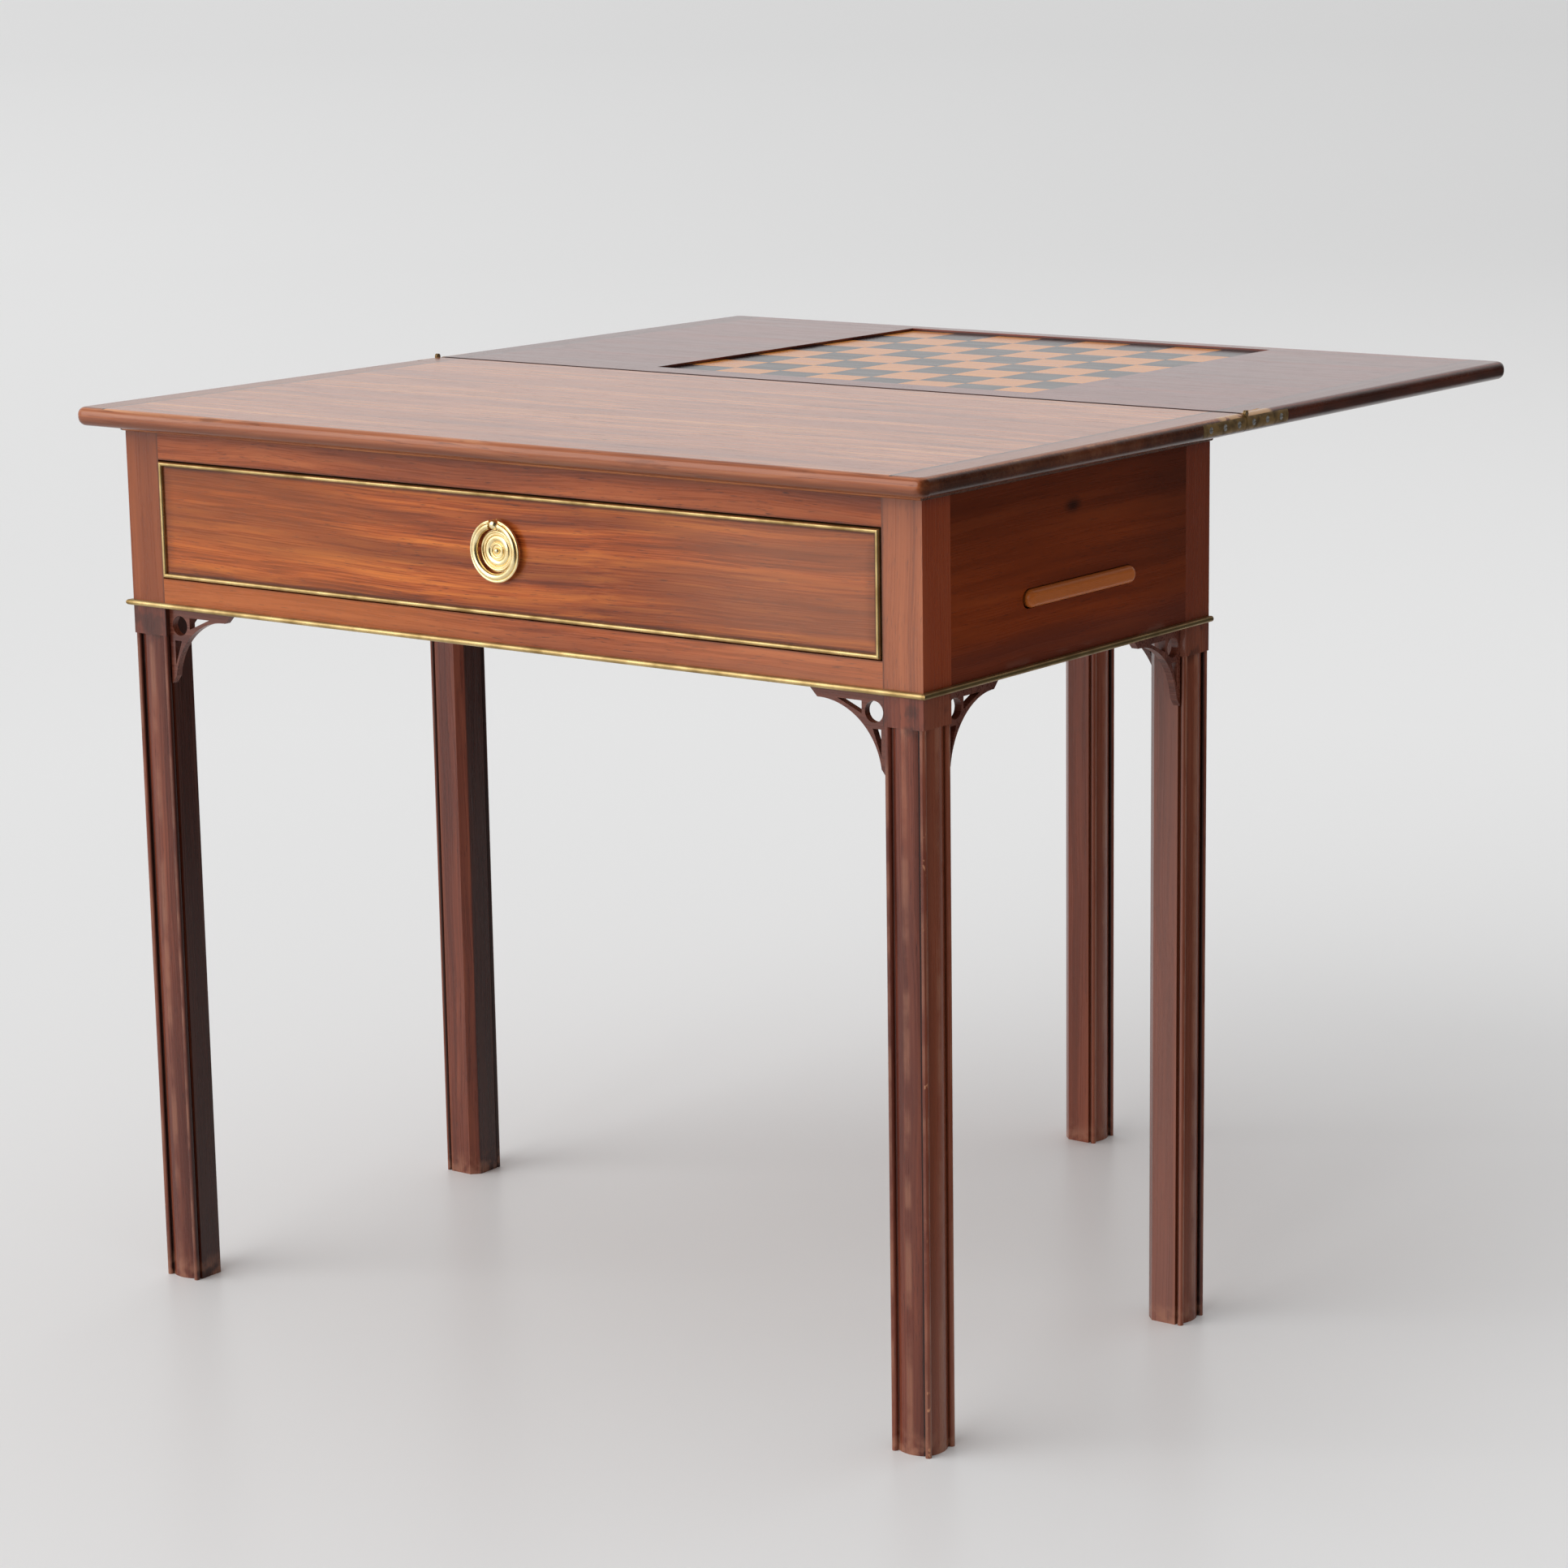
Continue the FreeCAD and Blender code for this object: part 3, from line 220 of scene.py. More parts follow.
# soft studio light: a low broad key from the front left, the room brighter overhead and dim to the right;
# glow is what polish and metal mirror by height, a pale wall with the far right side of the room in the dark
lightSpec = {
    "keyFrom": (-0.35, -0.87, 0.36),
    "keyStrength": 1.9,
    "keyAngle": 70,
    "roomLow": 0.20,
    "roomHigh": 1.18,
    "roomTilt": 0.6,
    "backdrop": "#dadadc",
    "glow": ((0.0, 0.64), (0.10, 0.77), (0.30, 0.80), (0.55, 0.70), (1.0, 0.60)),
    "dimSpan": (0.05, 0.45),
    "dimTo": 0.05,
}
keyData = bpy.data.lights.new("key", "SUN")
keyData.energy = lightSpec["keyStrength"]
keyData.angle = math.radians(lightSpec["keyAngle"])
keyLamp = bpy.data.objects.new("key", keyData)
bpy.context.scene.collection.objects.link(keyLamp)
keyLamp.rotation_euler = (-Vector(lightSpec["keyFrom"])).to_track_quat("-Z", "Y").to_euler()

world = bpy.data.worlds.new("studio")
bpy.context.scene.world = world
world.use_nodes = True
sky = world.node_tree
sky.nodes.clear()
rays = addNode(sky, "ShaderNodeLightPath").outputs
heading = axesFrom(sky, addNode(sky, "ShaderNodeTexCoord").outputs["Generated"])
stops = [(at, (grey, grey, grey, 1)) for at, grey in lightSpec["glow"]]
glow = addNode(sky, "ShaderNodeValToRGB", {"stops": stops}, _0=heading["Z"])
dimFrom, dimBy = lightSpec["dimSpan"]
dim = addNode(sky, "ShaderNodeMapRange", {"interpolation_type": "SMOOTHSTEP"}, Value=heading["X"],
              From_Min=dimFrom, From_Max=dimBy, To_Min=1.0, To_Max=lightSpec["dimTo"])
mirrored = addNode(sky, "ShaderNodeMix", {"data_type": "RGBA", "blend_type": "MULTIPLY"}, _0=1.0,
                   _6=glow.outputs[0], _7=dim.outputs[0])
seen = addNode(sky, "ShaderNodeMix", {"data_type": "RGBA"}, _0=rays["Is Camera Ray"], _6=mirrored.outputs[2],
               _7=hexToLinear(lightSpec["backdrop"]))
direct = rays["Is Camera Ray"]
for kind in ("Is Glossy Ray", "Is Transmission Ray"):
    direct = addNode(sky, "ShaderNodeMath", {"operation": "MAXIMUM"}, _0=direct, _1=rays[kind]).outputs[0]
overhead = addNode(sky, "ShaderNodeMapRange", Value=heading["Z"], To_Min=lightSpec["roomLow"],
                   To_Max=lightSpec["roomHigh"])
tilt = addNode(sky, "ShaderNodeMath", {"operation": "MULTIPLY_ADD"}, _0=heading["X"],
               _1=-lightSpec["roomTilt"], _2=1.0)
roomLight = addNode(sky, "ShaderNodeBackground", Strength=overlap(sky, overhead.outputs[0], tilt.outputs[0]))
pale = addNode(sky, "ShaderNodeBackground", Color=seen.outputs[2])
both = addNode(sky, "ShaderNodeMixShader", _0=direct, _1=roomLight.outputs[0], _2=pale.outputs[0])
closing = addNode(sky, "ShaderNodeOutputWorld")
sky.links.new(both.outputs[0], closing.inputs["Surface"])
bpy.context.scene.view_settings.view_transform = "Standard"
print("light set")

# pale painted studio floor, a little glossy: grey by distance from the table, in metres, and paler far off to
# the left, painted light for the fall of the studio light; polish mirrors it dark to the right of the table
floorSpec = {
    "reach": 60,
    "greys": ((0.8, 0.84), (2.4, 0.87), (10, 0.78), (30, 0.72)),
    "roughness": 0.32,
    "shine": 0.1,
    "unlit": ("#313131", 0.9, 0.42, 1.0),
    "nearest": 1.0,
    "fade": -0.45,
    "fadeSpan": (3.0, 12.0),
}
bpy.ops.mesh.primitive_plane_add(size=2 * floorSpec["reach"])
floor = bpy.context.object
floor.name = "studio_floor"
floorMaterial, tree = newMaterial("painted_studio_floor")
place = objectPlace(tree)
# painted light: the floor's grey changes with distance from the table, and it is paler far off to the left
fromMiddle = addNode(tree, "ShaderNodeVectorMath", {"operation": "LENGTH"}, _0=place).outputs["Value"]
share = addNode(tree, "ShaderNodeMapRange", Value=fromMiddle, From_Max=floorSpec["reach"])
stops = [(at / floorSpec["reach"], (grey, grey, grey, 1)) for at, grey in floorSpec["greys"]]
greys = addNode(tree, "ShaderNodeValToRGB", {"stops": stops}, _0=share.outputs[0])
sideways = addNode(tree, "ShaderNodeVectorMath", {"operation": "DOT_PRODUCT"}, _0=place, _1=level)
distance = addNode(tree, "ShaderNodeMath", {"operation": "MAXIMUM"}, _0=fromMiddle, _1=floorSpec["nearest"])
bearing = addNode(tree, "ShaderNodeMath", {"operation": "DIVIDE"}, _0=sideways.outputs["Value"],
                  _1=distance.outputs[0])
fade = overlap(tree, bearing.outputs[0], (distance.outputs[0], *floorSpec["fadeSpan"]), floorSpec["fade"])
paler = addNode(tree, "ShaderNodeMath", {"operation": "ADD"}, _0=1.0, _1=fade)
paintedLightGreys = addNode(tree, "ShaderNodeVectorMath", {"operation": "SCALE"}, _0=greys.outputs[0], Scale=paler.outputs[0])
mirroredRay = addNode(tree, "ShaderNodeLightPath").outputs["Is Glossy Ray"]
colour = stain(tree, paintedLightGreys.outputs[0], floorSpec["unlit"], mirroredRay, along=axesFrom(tree, place)["X"])
shader = addNode(tree, "ShaderNodeBsdfPrincipled", Base_Color=colour, Roughness=floorSpec["roughness"],
                 Specular_IOR_Level=floorSpec["shine"])
closeMaterial(tree, shader)
floor.data.materials.append(floorMaterial)
print("floor laid")

# polished mahogany: warm red brown, straight figure, fine dark pores, shellac gloss; the pieces differ in tone
frontWood = {
    "grain": "x", "dark": "#682b10", "middle": "#b05423", "light": "#d87b36", "spread": (0.35, 0.64),
    "tone": (360, 24, 3.0), "toneTint": "#55261a", "toneShare": 0.55,
    "band": (300, 8, 3.0), "streak": (120, 1.2, 5.0), "pore": (14, 0.9, 2.0), "streakShare": 0.5,
    "waveSize": 300, "waveReach": 18, "poreTint": "#3c180c", "poreShare": 0.7,
    "gloss": (0.22, 0.34), "shine": 0.32, "bump": 0.15,
}
railWood = {
    **frontWood, "dark": "#843f1e", "middle": "#ab572e", "light": "#c26e40", "toneTint": "#733825",
    "shift": (0.9, 0.3, 0.2),
}
sideWood = {
    **frontWood, "grain": "y", "dark": "#682506", "middle": "#823206", "light": "#9a420c",
    "spread": (0.22, 0.78), "band": (300, 14, 3.0), "streakShare": 0.3, "toneTint": "#501c08", "toneShare": 0.4,
    "poreTint": "#2c1008", "poreShare": 0.4, "shine": 0.15, "shift": (0.4, 0.1, 0.7),
}
slideWood = {
    **sideWood, "dark": "#6c3413", "middle": "#87461d", "light": "#9c5828", "toneTint": "#5c2c12", "shine": 0.35,
}
lowerWood = {
    **frontWood, "dark": "#7c3c1c", "middle": "#ba6e44", "light": "#dc9a6c", "toneTint": "#94502a",
    "toneShare": 0.4, "streak": (380, 2.6, 4.0), "band": (600, 18, 3.0), "gloss": (0.13, 0.21), "shine": 0.5,
    "poreTint": "#451d0e", "pore": (40, 1.3, 2.0), "shift": (0.2, 0.8, 0.1),
}
upperWood = {
    **lowerWood, "dark": "#5c2a21", "middle": "#7c392e", "light": "#914d3d", "toneTint": "#612a22",
    "poreTint": "#2d110c", "shift": (0.7, 0.2, 0.5),
}
legWood = {
    **frontWood, "grain": "z", "dark": "#572719", "middle": "#713523", "light": "#87462f", "toneTint": "#4b2018",
    "poreTint": "#2e130d", "poreShare": 0.5, "band": (500, 9, 3.0), "streak": (300, 1.8, 4.0), "shine": 0.44,
}
stileWood = {**legWood, "dark": "#7c3d1d", "middle": "#984e25", "light": "#aa5d32", "toneTint": "#783a1c"}
bracketWood = {**legWood, "grain": "x", "dark": "#542a20", "middle": "#683729", "light": "#784636"}
filletWood = {
    **railWood, "dark": "#8a4724", "middle": "#b06a3c", "light": "#c47e4c", "shift": (0.1, 0.5, 0.3),
}
# planed beech and oak, never polished: pale, dull, quiet figure; torn mahogany is as dull, with open fibre
beechWood = {
    **frontWood, "dark": "#9a6c48", "middle": "#b4825a", "light": "#c6986e", "toneTint": "#966a48",
    "poreTint": "#80562f", "gloss": (0.5, 0.62), "shine": 0.3,
}
oakWood = {
    **beechWood, "dark": "#94683f", "middle": "#b48455", "light": "#c79a69", "toneTint": "#946a42",
    "poreTint": "#5d4123",
}
tornFibre = {
    **beechWood, "grain": "y", "dark": "#a06c42", "middle": "#c99b6c", "light": "#dfba90",
    "streak": (40, 0.8, 4.0),
}

# leaf: long grain, crossbanded ends with a dark inlaid line, a lipping round the edge that is darker and
# blotched at the ends, raw wood where the hinges have torn; painted shade darkens the lipping towards its
# foot, the wall of the well and, with grime, the joint of the leaves; heights and distances from the middle
# in metres.
# The line is drawn 3 mm wide and the scratches broad, coarser than the real ones, so that they show
leafSpec = {
    "lower": {"rearLine": 0, "tornSpan": (-0.036, -0.002)},
    "upper": {"rearLine": 0.412, "tornSpan": (0.003, 0.040)},
    "top": (0.7292, 0.7297), "below": (0.7296, 0.7280), "under": (0.7160, 0.7152),
    "rimEnd": (0.4055, 0.4065), "rimEdge": (0.4305, 0.4315), "rimJoint": (0.0200, 0.0100),
    "bandFrom": 0.383, "bandShare": 0.7,
    "line": ("#1f0d08", 0.85), "lineHalf": 0.0015, "lineSoft": 0.0004,
    "scratch": ("#1f0d08", 0.45), "scratchPatches": (9, 0.70, 0.03, (0.16, 1.0, 1.0)),
    # painted shade: the lipping's darker foot, the wall of the well, and with grime the joint of the leaves
    "lip": ("#8c4826", 0.5), "lipFootShade": ("#4a2214", 0.55, 0.7240, 0.7185),
    "wellWallShade": ("#1f0d08", 0.75), "outerFace": ("#9c5a34", 0.45),
    "end": ("#30130b", 0.7), "endSpan": (0.4075, 0.4115),
    "blot": ("#160906", 0.55), "blotPatches": (20, 0.5, 0.14, (1.0, 0.35, 1.0)),
    "joint": ("#1f0d08", 0.85, 0.0045, 0.0025), "jointTop": (0.7255, 0.7285),
    "raw": ("#c99a68", 0.95, 0.404, 0.408), "rawTop": (0.7258, 0.7262), "rawSoft": 0.004,
    "rawPatches": (14, 0.45),
}


def leafWood(name, spec, rearLine, tornSpan):
    material, tree = newMaterial(name)
    place = objectPlace(tree)
    axes = axesFrom(tree, place)
    folded = axesFrom(tree, place, folded=True)
    height, endways, outward = axes["Z"], folded["X"], folded["Y"]
    onTop = overlap(tree, (height, *leafSpec["top"]))
    below = overlap(tree, (height, *leafSpec["below"]))
    under = overlap(tree, (height, *leafSpec["under"]))
    rim = overlap(tree, (endways, *leafSpec["rimEnd"]))
    for span in (leafSpec["rimEdge"], leafSpec["rimJoint"]):
        rim = addNode(tree, "ShaderNodeMath", {"operation": "MAXIMUM"}, _0=rim,
                      _1=overlap(tree, (outward, *span))).outputs[0]
    # crossbanding: the grain turned at the ends
    pastLine = addNode(tree, "ShaderNodeMath", {"operation": "GREATER_THAN"}, _0=endways, _1=leafSpec["bandFrom"])
    inBand = overlap(tree, pastLine.outputs[0], onTop)
    crossed = addNode(tree, "ShaderNodeCombineXYZ", X=axes["Y"], Y=axes["X"], Z=height)
    turned = addNode(tree, "ShaderNodeMix", {"data_type": "VECTOR"}, _0=inBand, _4=place, _5=crossed.outputs[0])
    colour, figure, pores = woodColour(tree, spec, turned.outputs[1])
    colour = stain(tree, colour, (spec["dark"], leafSpec["bandShare"]), inBand)
    for coordinate, at in ((endways, leafSpec["bandFrom"]), (axes["Y"], rearLine)):
        if at:
            line = between(coordinate, at - leafSpec["lineHalf"], at + leafSpec["lineHalf"], leafSpec["lineSoft"])
            colour = stain(tree, colour, leafSpec["line"], *line, onTop)
    colour = stain(tree, colour, leafSpec["scratch"], patches(tree, place, *leafSpec["scratchPatches"]))
    # lipping, the wall of the well darkened as painted shade, and the leaf's outer face
    colour = stain(tree, colour, leafSpec["lip"], below, rim)
    inWell = below
    for other in (rim, under):
        apart = addNode(tree, "ShaderNodeMath", {"operation": "SUBTRACT"}, _0=1.0, _1=other)
        inWell = overlap(tree, inWell, apart.outputs[0])
    colour = stain(tree, colour, leafSpec["wellWallShade"], inWell)
    # painted shade: the lipping darker towards its foot, where the rounded edge turns down
    colour = stain(tree, colour, leafSpec["lipFootShade"], rim, along=height)
    colour = stain(tree, colour, leafSpec["outerFace"], under)
    # dark, blotched ends, the joint between the leaves darkened by grime and painted shade of the gap, torn wood
    atEnd = overlap(tree, (endways, *leafSpec["endSpan"]), below)
    colour = stain(tree, colour, leafSpec["end"], atEnd)
    colour = stain(tree, colour, leafSpec["blot"], atEnd, patches(tree, place, *leafSpec["blotPatches"]))
    colour = stain(tree, colour, leafSpec["joint"], (height, *leafSpec["jointTop"]), along=outward)
    torn = between(axes["Y"], *tornSpan, leafSpec["rawSoft"])
    colour = stain(tree, colour, leafSpec["raw"], *torn, (height, *leafSpec["rawTop"]),
                   patches(tree, place, *leafSpec["rawPatches"]), along=endways)
    woodShader(tree, spec, colour, figure, pores)
    return material


paint(leafWood("mahogany_polished_top", lowerWood, **leafSpec["lower"]), "lower_leaf")
paint(leafWood("mahogany_polished_inner_leaf", upperWood, **leafSpec["upper"]), "upper_leaf")
print("leaves done")

# drawer front: more orange to the left, browner then paler to the right, darker along the brass bead with
# dirt and painted shade of the gap; the spans of that darkening are distances out from the edge
drawerSpec = {
    "middle": (0, 0, 0.640), "half": (0.3493, 0, 0.0433),
    "warm": ("#b9672d", 0.25, -0.02, -0.22), "brown": ("#7d3f26", 0.15, -0.06, 0.10),
    "pale": ("#b98468", 0.28, 0.10, 0.27),
    # the darkening along the bead is dirt and painted shade
    "grimeAndShade": ("#2a120a", 0.3, -0.012, -0.001), "dirtAndShade": ("#2a120a", 0.6, -0.0025, -0.0008),
}
material, tree = newMaterial("mahogany_figured_drawer")
place = objectPlace(tree)
axes = axesFrom(tree, place)
colour, figure, pores = woodColour(tree, frontWood, place)
for name in ("warm", "brown", "pale"):
    colour = stain(tree, colour, drawerSpec[name], along=axes["X"])
edges = axesFrom(tree, place, drawerSpec["middle"], True, drawerSpec["half"])
border = addNode(tree, "ShaderNodeMath", {"operation": "MAXIMUM"}, _0=edges["X"], _1=edges["Z"]).outputs[0]
# dirt and painted shade along the brass bead: a broad soft band and a narrow dark line
for name in ("grimeAndShade", "dirtAndShade"):
    colour = stain(tree, colour, drawerSpec[name], along=border)
woodShader(tree, frontWood, colour, figure, pores)
paint(material, "drawer_front")

# rails round the drawer: a dark line of dirt and painted shade where they meet its opening, shade under the
# top, and the bottom rail more orange to the left and paler to the right
railSpec = {
    "line": ("#2a120a", 0.5, 0.0498, 0.0484), "shade": ("#3c1a12", 0.5, 0.700, 0.713), "low": (0.60, 0.59),
    "warm": ("#b9672d", 0.45, 0.05, -0.15), "pale": ("#b98468", 0.25, 0.05, 0.30),
}
material, tree = newMaterial("mahogany_polished_rail")
place = objectPlace(tree)
axes = axesFrom(tree, place)
colour, figure, pores = woodColour(tree, railWood, place)
fromDrawer = axesFrom(tree, place, drawerSpec["middle"], True)["Z"]
# dirt and painted shade of the gap where the rails meet the drawer opening
colour = stain(tree, colour, railSpec["line"], along=fromDrawer)
colour = stain(tree, colour, railSpec["shade"], along=axes["Z"])
low = overlap(tree, (axes["Z"], *railSpec["low"]))
for name in ("warm", "pale"):
    colour = stain(tree, colour, railSpec[name], low, along=axes["X"])
woodShader(tree, railWood, colour, figure, pores)
paint(material, "front_top_rail", "front_bottom_rail", "rear_rail")

# brackets in the angles, and the hidden wood with its grain along the front or, as deep, from front to rear
paint(plainWood("mahogany_polished_bracket", bracketWood), *[name for name in nodes if name.startswith("bracket_")])
paint(plainWood("beech_planed", beechWood), "fly_rail_fixed", "drawer_stops", "candle_peg_left", "candle_peg_right")
paint(plainWood("beech_planed_deep", {**beechWood, "grain": "y"}), "fly_rail", "drawer_runners", "drawer_guides",
      "drawer_kickers", "candle_bearers")
paint(plainWood("oak_planed", oakWood), "drawer_back", "drawer_bottom")
paint(plainWood("oak_planed_deep", {**oakWood, "grain": "y"}), "drawer_side_left", "drawer_side_right")

# side rails, darker, with a knot in the right one near the top and scuffs along the bottom edge; painted shade
# darkens them near the top, under the overhang of the top, and towards the rear
sideSpec = {
    "knotMiddle": (0.389, -0.210, 0.683), "knotSize": (0.05, 0.016, 0.008), "knot": ("#1a0905", 0.8, 1.0, 0.1),
    # darker near the top and towards the rear: painted shade
    "high": ("#220c05", 0.45, 0.62, 0.71), "rearwardShade": ("#2a0f07", 0.35, -0.16, -0.05),
    "low": ("#5a2a20", 0.45, 0.605, 0.585),
    "scuff": ("#a88f80", 0.2, 0.580, 0.571), "scuffPatches": (12, 0.58, 0.06, (1.0, 0.25, 1.0)),
}
material, tree = newMaterial("mahogany_polished_side")
place = objectPlace(tree)
axes = axesFrom(tree, place)
colour, figure, pores = woodColour(tree, sideWood, place)
fromKnot = addNode(tree, "ShaderNodeVectorMath", {"operation": "SUBTRACT"}, _0=place, _1=sideSpec["knotMiddle"])
inKnots = addNode(tree, "ShaderNodeVectorMath", {"operation": "DIVIDE"}, _0=fromKnot.outputs[0],
                  _1=sideSpec["knotSize"])
away = addNode(tree, "ShaderNodeVectorMath", {"operation": "LENGTH"}, _0=inKnots.outputs[0])
colour = stain(tree, colour, sideSpec["knot"], along=away.outputs["Value"])
# painted shade near the top and towards the rear, and browner towards the bottom edge
for name, axis in (("high", "Z"), ("rearwardShade", "Y"), ("low", "Z")):
    colour = stain(tree, colour, sideSpec[name], along=axes[axis])
colour = stain(tree, colour, sideSpec["scuff"], patches(tree, place, *sideSpec["scuffPatches"]), along=axes["Z"])
woodShader(tree, sideWood, colour, figure, pores)
paint(material, "side_rail_left", "side_rail_right")

# slides, brown boards with an end that hands have rubbed bright
slideSpec = {"rubbed": ("#c66a29", 0.7, 0.3886, 0.3892)}
material, tree = newMaterial("mahogany_rubbed_slide")
place = objectPlace(tree)
colour, figure, pores = woodColour(tree, slideWood, place)
colour = stain(tree, colour, slideSpec["rubbed"], along=axesFrom(tree, place, folded=True)["X"])
woodShader(tree, slideWood, colour, figure, pores)
paint(material, "candle_slide_left", "candle_slide_right")
print("rails and slides done")

# legs: dark shaft and block, lighter stile above the bead line, dirt and painted shade in the quirks, rubbed
# crests and feet. Painted light and shade: lit and unlit faces, a paler front face on the rear right leg, and
# on the stiles a sheen on the right, less sheen on the left and on the end faces, dirt and painted shade along
# the inner edge by the drawer opening, and shade towards the rear and under the top.
# A leg's own axes run outward from its middle, so the four corner legs share one material; some tints
# depend on which side of the table the leg is, and those spans are x and y of the whole table
legSpec = {
    "corner": {"middle": (0, -0.21, 0), "folded": True, "half": (0.3715, 0.1775, 0)},
    "fly": {"middle": (0.0405, 0.3565, 0)},
    "shaft": (0.5455, 0.5445), "stile": (0.5690, 0.5700), "endFace": (0.008, 0.010),
    "onRight": (0.1, 0.2), "atRear": (-0.2, -0.1), "atFront": (-0.1, -0.2),
    # the pale tint on the rear right leg's front face is painted light; the quirk tints are dirt and painted shade
    "flank": ("#8a4526", 0.45, 0.0128, 0.0122), "rearInnerLight": ("#a8786a", 0.3, -0.0168, -0.0172),
    "unlit": ("#200e0a", 0.72, -0.0166, -0.0171), "lit": ("#9a5238", 0.22, 0.2, 0.3), "flyLit": ("#9a5238", 0.25),
    "quirk": (0.0125, 0.0144), "quirkDirtAndShade": ("#1c0c08", 0.8), "quirkSoft": 0.0003,
    "beside": (0.0106, 0.0130), "besideDirtAndShade": ("#1c0c08", 0.9, 0.010, 0.011),
    "crest": ("#a8735a", 0.4, 0.0168, 0.0172), "crestPatches": (40, 0.50, 0.12),
    "chip": ("#c98f6a", 0.7, 0.0150, 0.0160), "chipPatches": (6, 0.66, 0.03),
    "smudge": ("#1c0c08", 0.45, 0.535, 0.545), "smudgePatches": (16, 0.57, 0.06),
    "foot": ("#a8735a", 0.55, 0.024, 0.0), "footPatches": (9, 0.5, 0.12),
    # stile tints, painted reflection and shade: deeper on the end faces and the left front where less sheen shows,
    # a sheen on the right front, shade towards the rear, and dirt with painted shade along the inner edge
    "stileEndLessSheen": ("#8e3206", 0.75), "stileRearShade": ("#401605", 0.4, -0.2, -0.1),
    "stileRightSheen": ("#c08a76", 0.18, 0.2, 0.3), "stileLeftLessSheen": ("#873f16", 0.45, -0.2, -0.3),
    "stileInsideDirtAndShade": ("#1c0c08", 0.5, -0.0150, -0.0172), "stileShade": ("#3c1a12", 0.45, 0.700, 0.713),
}


def legMaterial(name, which):
    material, tree = newMaterial(name)
    place = objectPlace(tree)
    table = axesFrom(tree, place)
    height = table["Z"]
    axes = axesFrom(tree, place, **legSpec[which])
    outer = addNode(tree, "ShaderNodeMath", {"operation": "MAXIMUM"}, _0=axes["X"], _1=axes["Y"]).outputs[0]
    inner = addNode(tree, "ShaderNodeMath", {"operation": "MINIMUM"}, _0=axes["X"], _1=axes["Y"]).outputs[0]
    sideways = addNode(tree, "ShaderNodeMath", {"operation": "GREATER_THAN"}, _0=axes["X"], _1=axes["Y"])
    endFace = overlap(tree, sideways.outputs[0], (axes["X"], *legSpec["endFace"]))
    frontFace = addNode(tree, "ShaderNodeMath", {"operation": "SUBTRACT"}, _0=1.0, _1=endFace).outputs[0]
    shaft = overlap(tree, (height, *legSpec["shaft"]))
    # shaft and block
    colour, figure, pores = woodColour(tree, legWood, place)
    colour = stain(tree, colour, legSpec["flank"], endFace, along=axes["Y"])
    if which == "corner":
        # painted light: the front face of the rear right leg made paler, as if lit from the front under the table
        colour = stain(tree, colour, legSpec["rearInnerLight"], (table["X"], *legSpec["onRight"]),
                       (table["Y"], *legSpec["atRear"]), along=axes["Y"])
        colour = stain(tree, colour, legSpec["unlit"], along=axes["X"])
        colour = stain(tree, colour, legSpec["lit"], (table["Y"], *legSpec["atFront"]), endFace, along=table["X"])
    else:
        colour = stain(tree, colour, legSpec["flyLit"], shaft)
    soft = legSpec["quirkSoft"]
    # dirt and painted shade darken the quirks and the lines beside the corner bead
    colour = stain(tree, colour, legSpec["quirkDirtAndShade"], *between(outer, *legSpec["quirk"], soft), shaft)
    colour = stain(tree, colour, legSpec["besideDirtAndShade"], *between(inner, *legSpec["beside"], soft), shaft,
                   along=outer)
    for wear, coordinate, part in (("crest", outer, [shaft]), ("chip", inner, [shaft]), ("smudge", height, []),
                                   ("foot", height, [])):
        ragged = patches(tree, place, *legSpec[wear + "Patches"])
        colour = stain(tree, colour, legSpec[wear], ragged, *part, along=coordinate)
    # stile
    stile = woodColour(tree, stileWood, place)[0]
    # painted: end faces deeper where less sheen shows, shade towards the rear, a sheen on the right front, less on
    # the left front, and dirt with painted shade along the inner edge by the drawer opening
    stile = stain(tree, stile, legSpec["stileEndLessSheen"], endFace)
    stile = stain(tree, stile, legSpec["stileRearShade"], endFace, along=table["Y"])
    for side in ("stileRightSheen", "stileLeftLessSheen"):
        stile = stain(tree, stile, legSpec[side], frontFace, along=table["X"])
    stile = stain(tree, stile, legSpec["stileInsideDirtAndShade"], along=axes["X"])
    stile = stain(tree, stile, legSpec["stileShade"], along=height)
    colour = addNode(tree, "ShaderNodeMix", {"data_type": "RGBA"}, _0=overlap(tree, (height, *legSpec["stile"])),
                     _6=colour, _7=stile).outputs[2]
    woodShader(tree, legWood, colour, figure, pores)
    return material


paint(legMaterial("mahogany_polished_leg", "corner"), "leg_front_left", "leg_front_right", "leg_rear_left",
      "leg_rear_right")
paint(legMaterial("mahogany_polished_fly_leg", "fly"), "fly_leg")
print("woods done")

# brass, worn by hands and polish: yellow metal with darker tarnish in patches, sizes in millimetres; the bead
# is darker on the sides. Hinges are nearly brown, screws and pins grey steel. The grit of filing and polishing
# is drawn at 0.6 mm, coarser than it is, so that it shows
metalSpec = {"tarnish": (0.4, 0.68), "roughSpan": (0.35, 0.7), "grit": 0.6, "relief": 0.0002}
pullBrass = {"clean": "#fbe9b6", "dull": "#e8ca90", "patch": 9, "gloss": (0.16, 0.28), "bump": 0.1, "metal": 1.0}
beadBrass = {"clean": "#ccb17a", "dull": "#977b4b", "patch": 24, "gloss": (0.26, 0.42), "bump": 0.08, "metal": 0.9,
             "side": ("#7c6238", 0.6, 0.3898, 0.3906)}
hingeBrass = {"clean": "#8a6c3c", "dull": "#503c1e", "patch": 8, "gloss": (0.35, 0.6), "bump": 0.3, "metal": 0.3}
screwSteel = {"clean": "#b5b3b0", "dull": "#77726c", "patch": 4, "gloss": (0.25, 0.45), "bump": 0.2, "metal": 0.5}


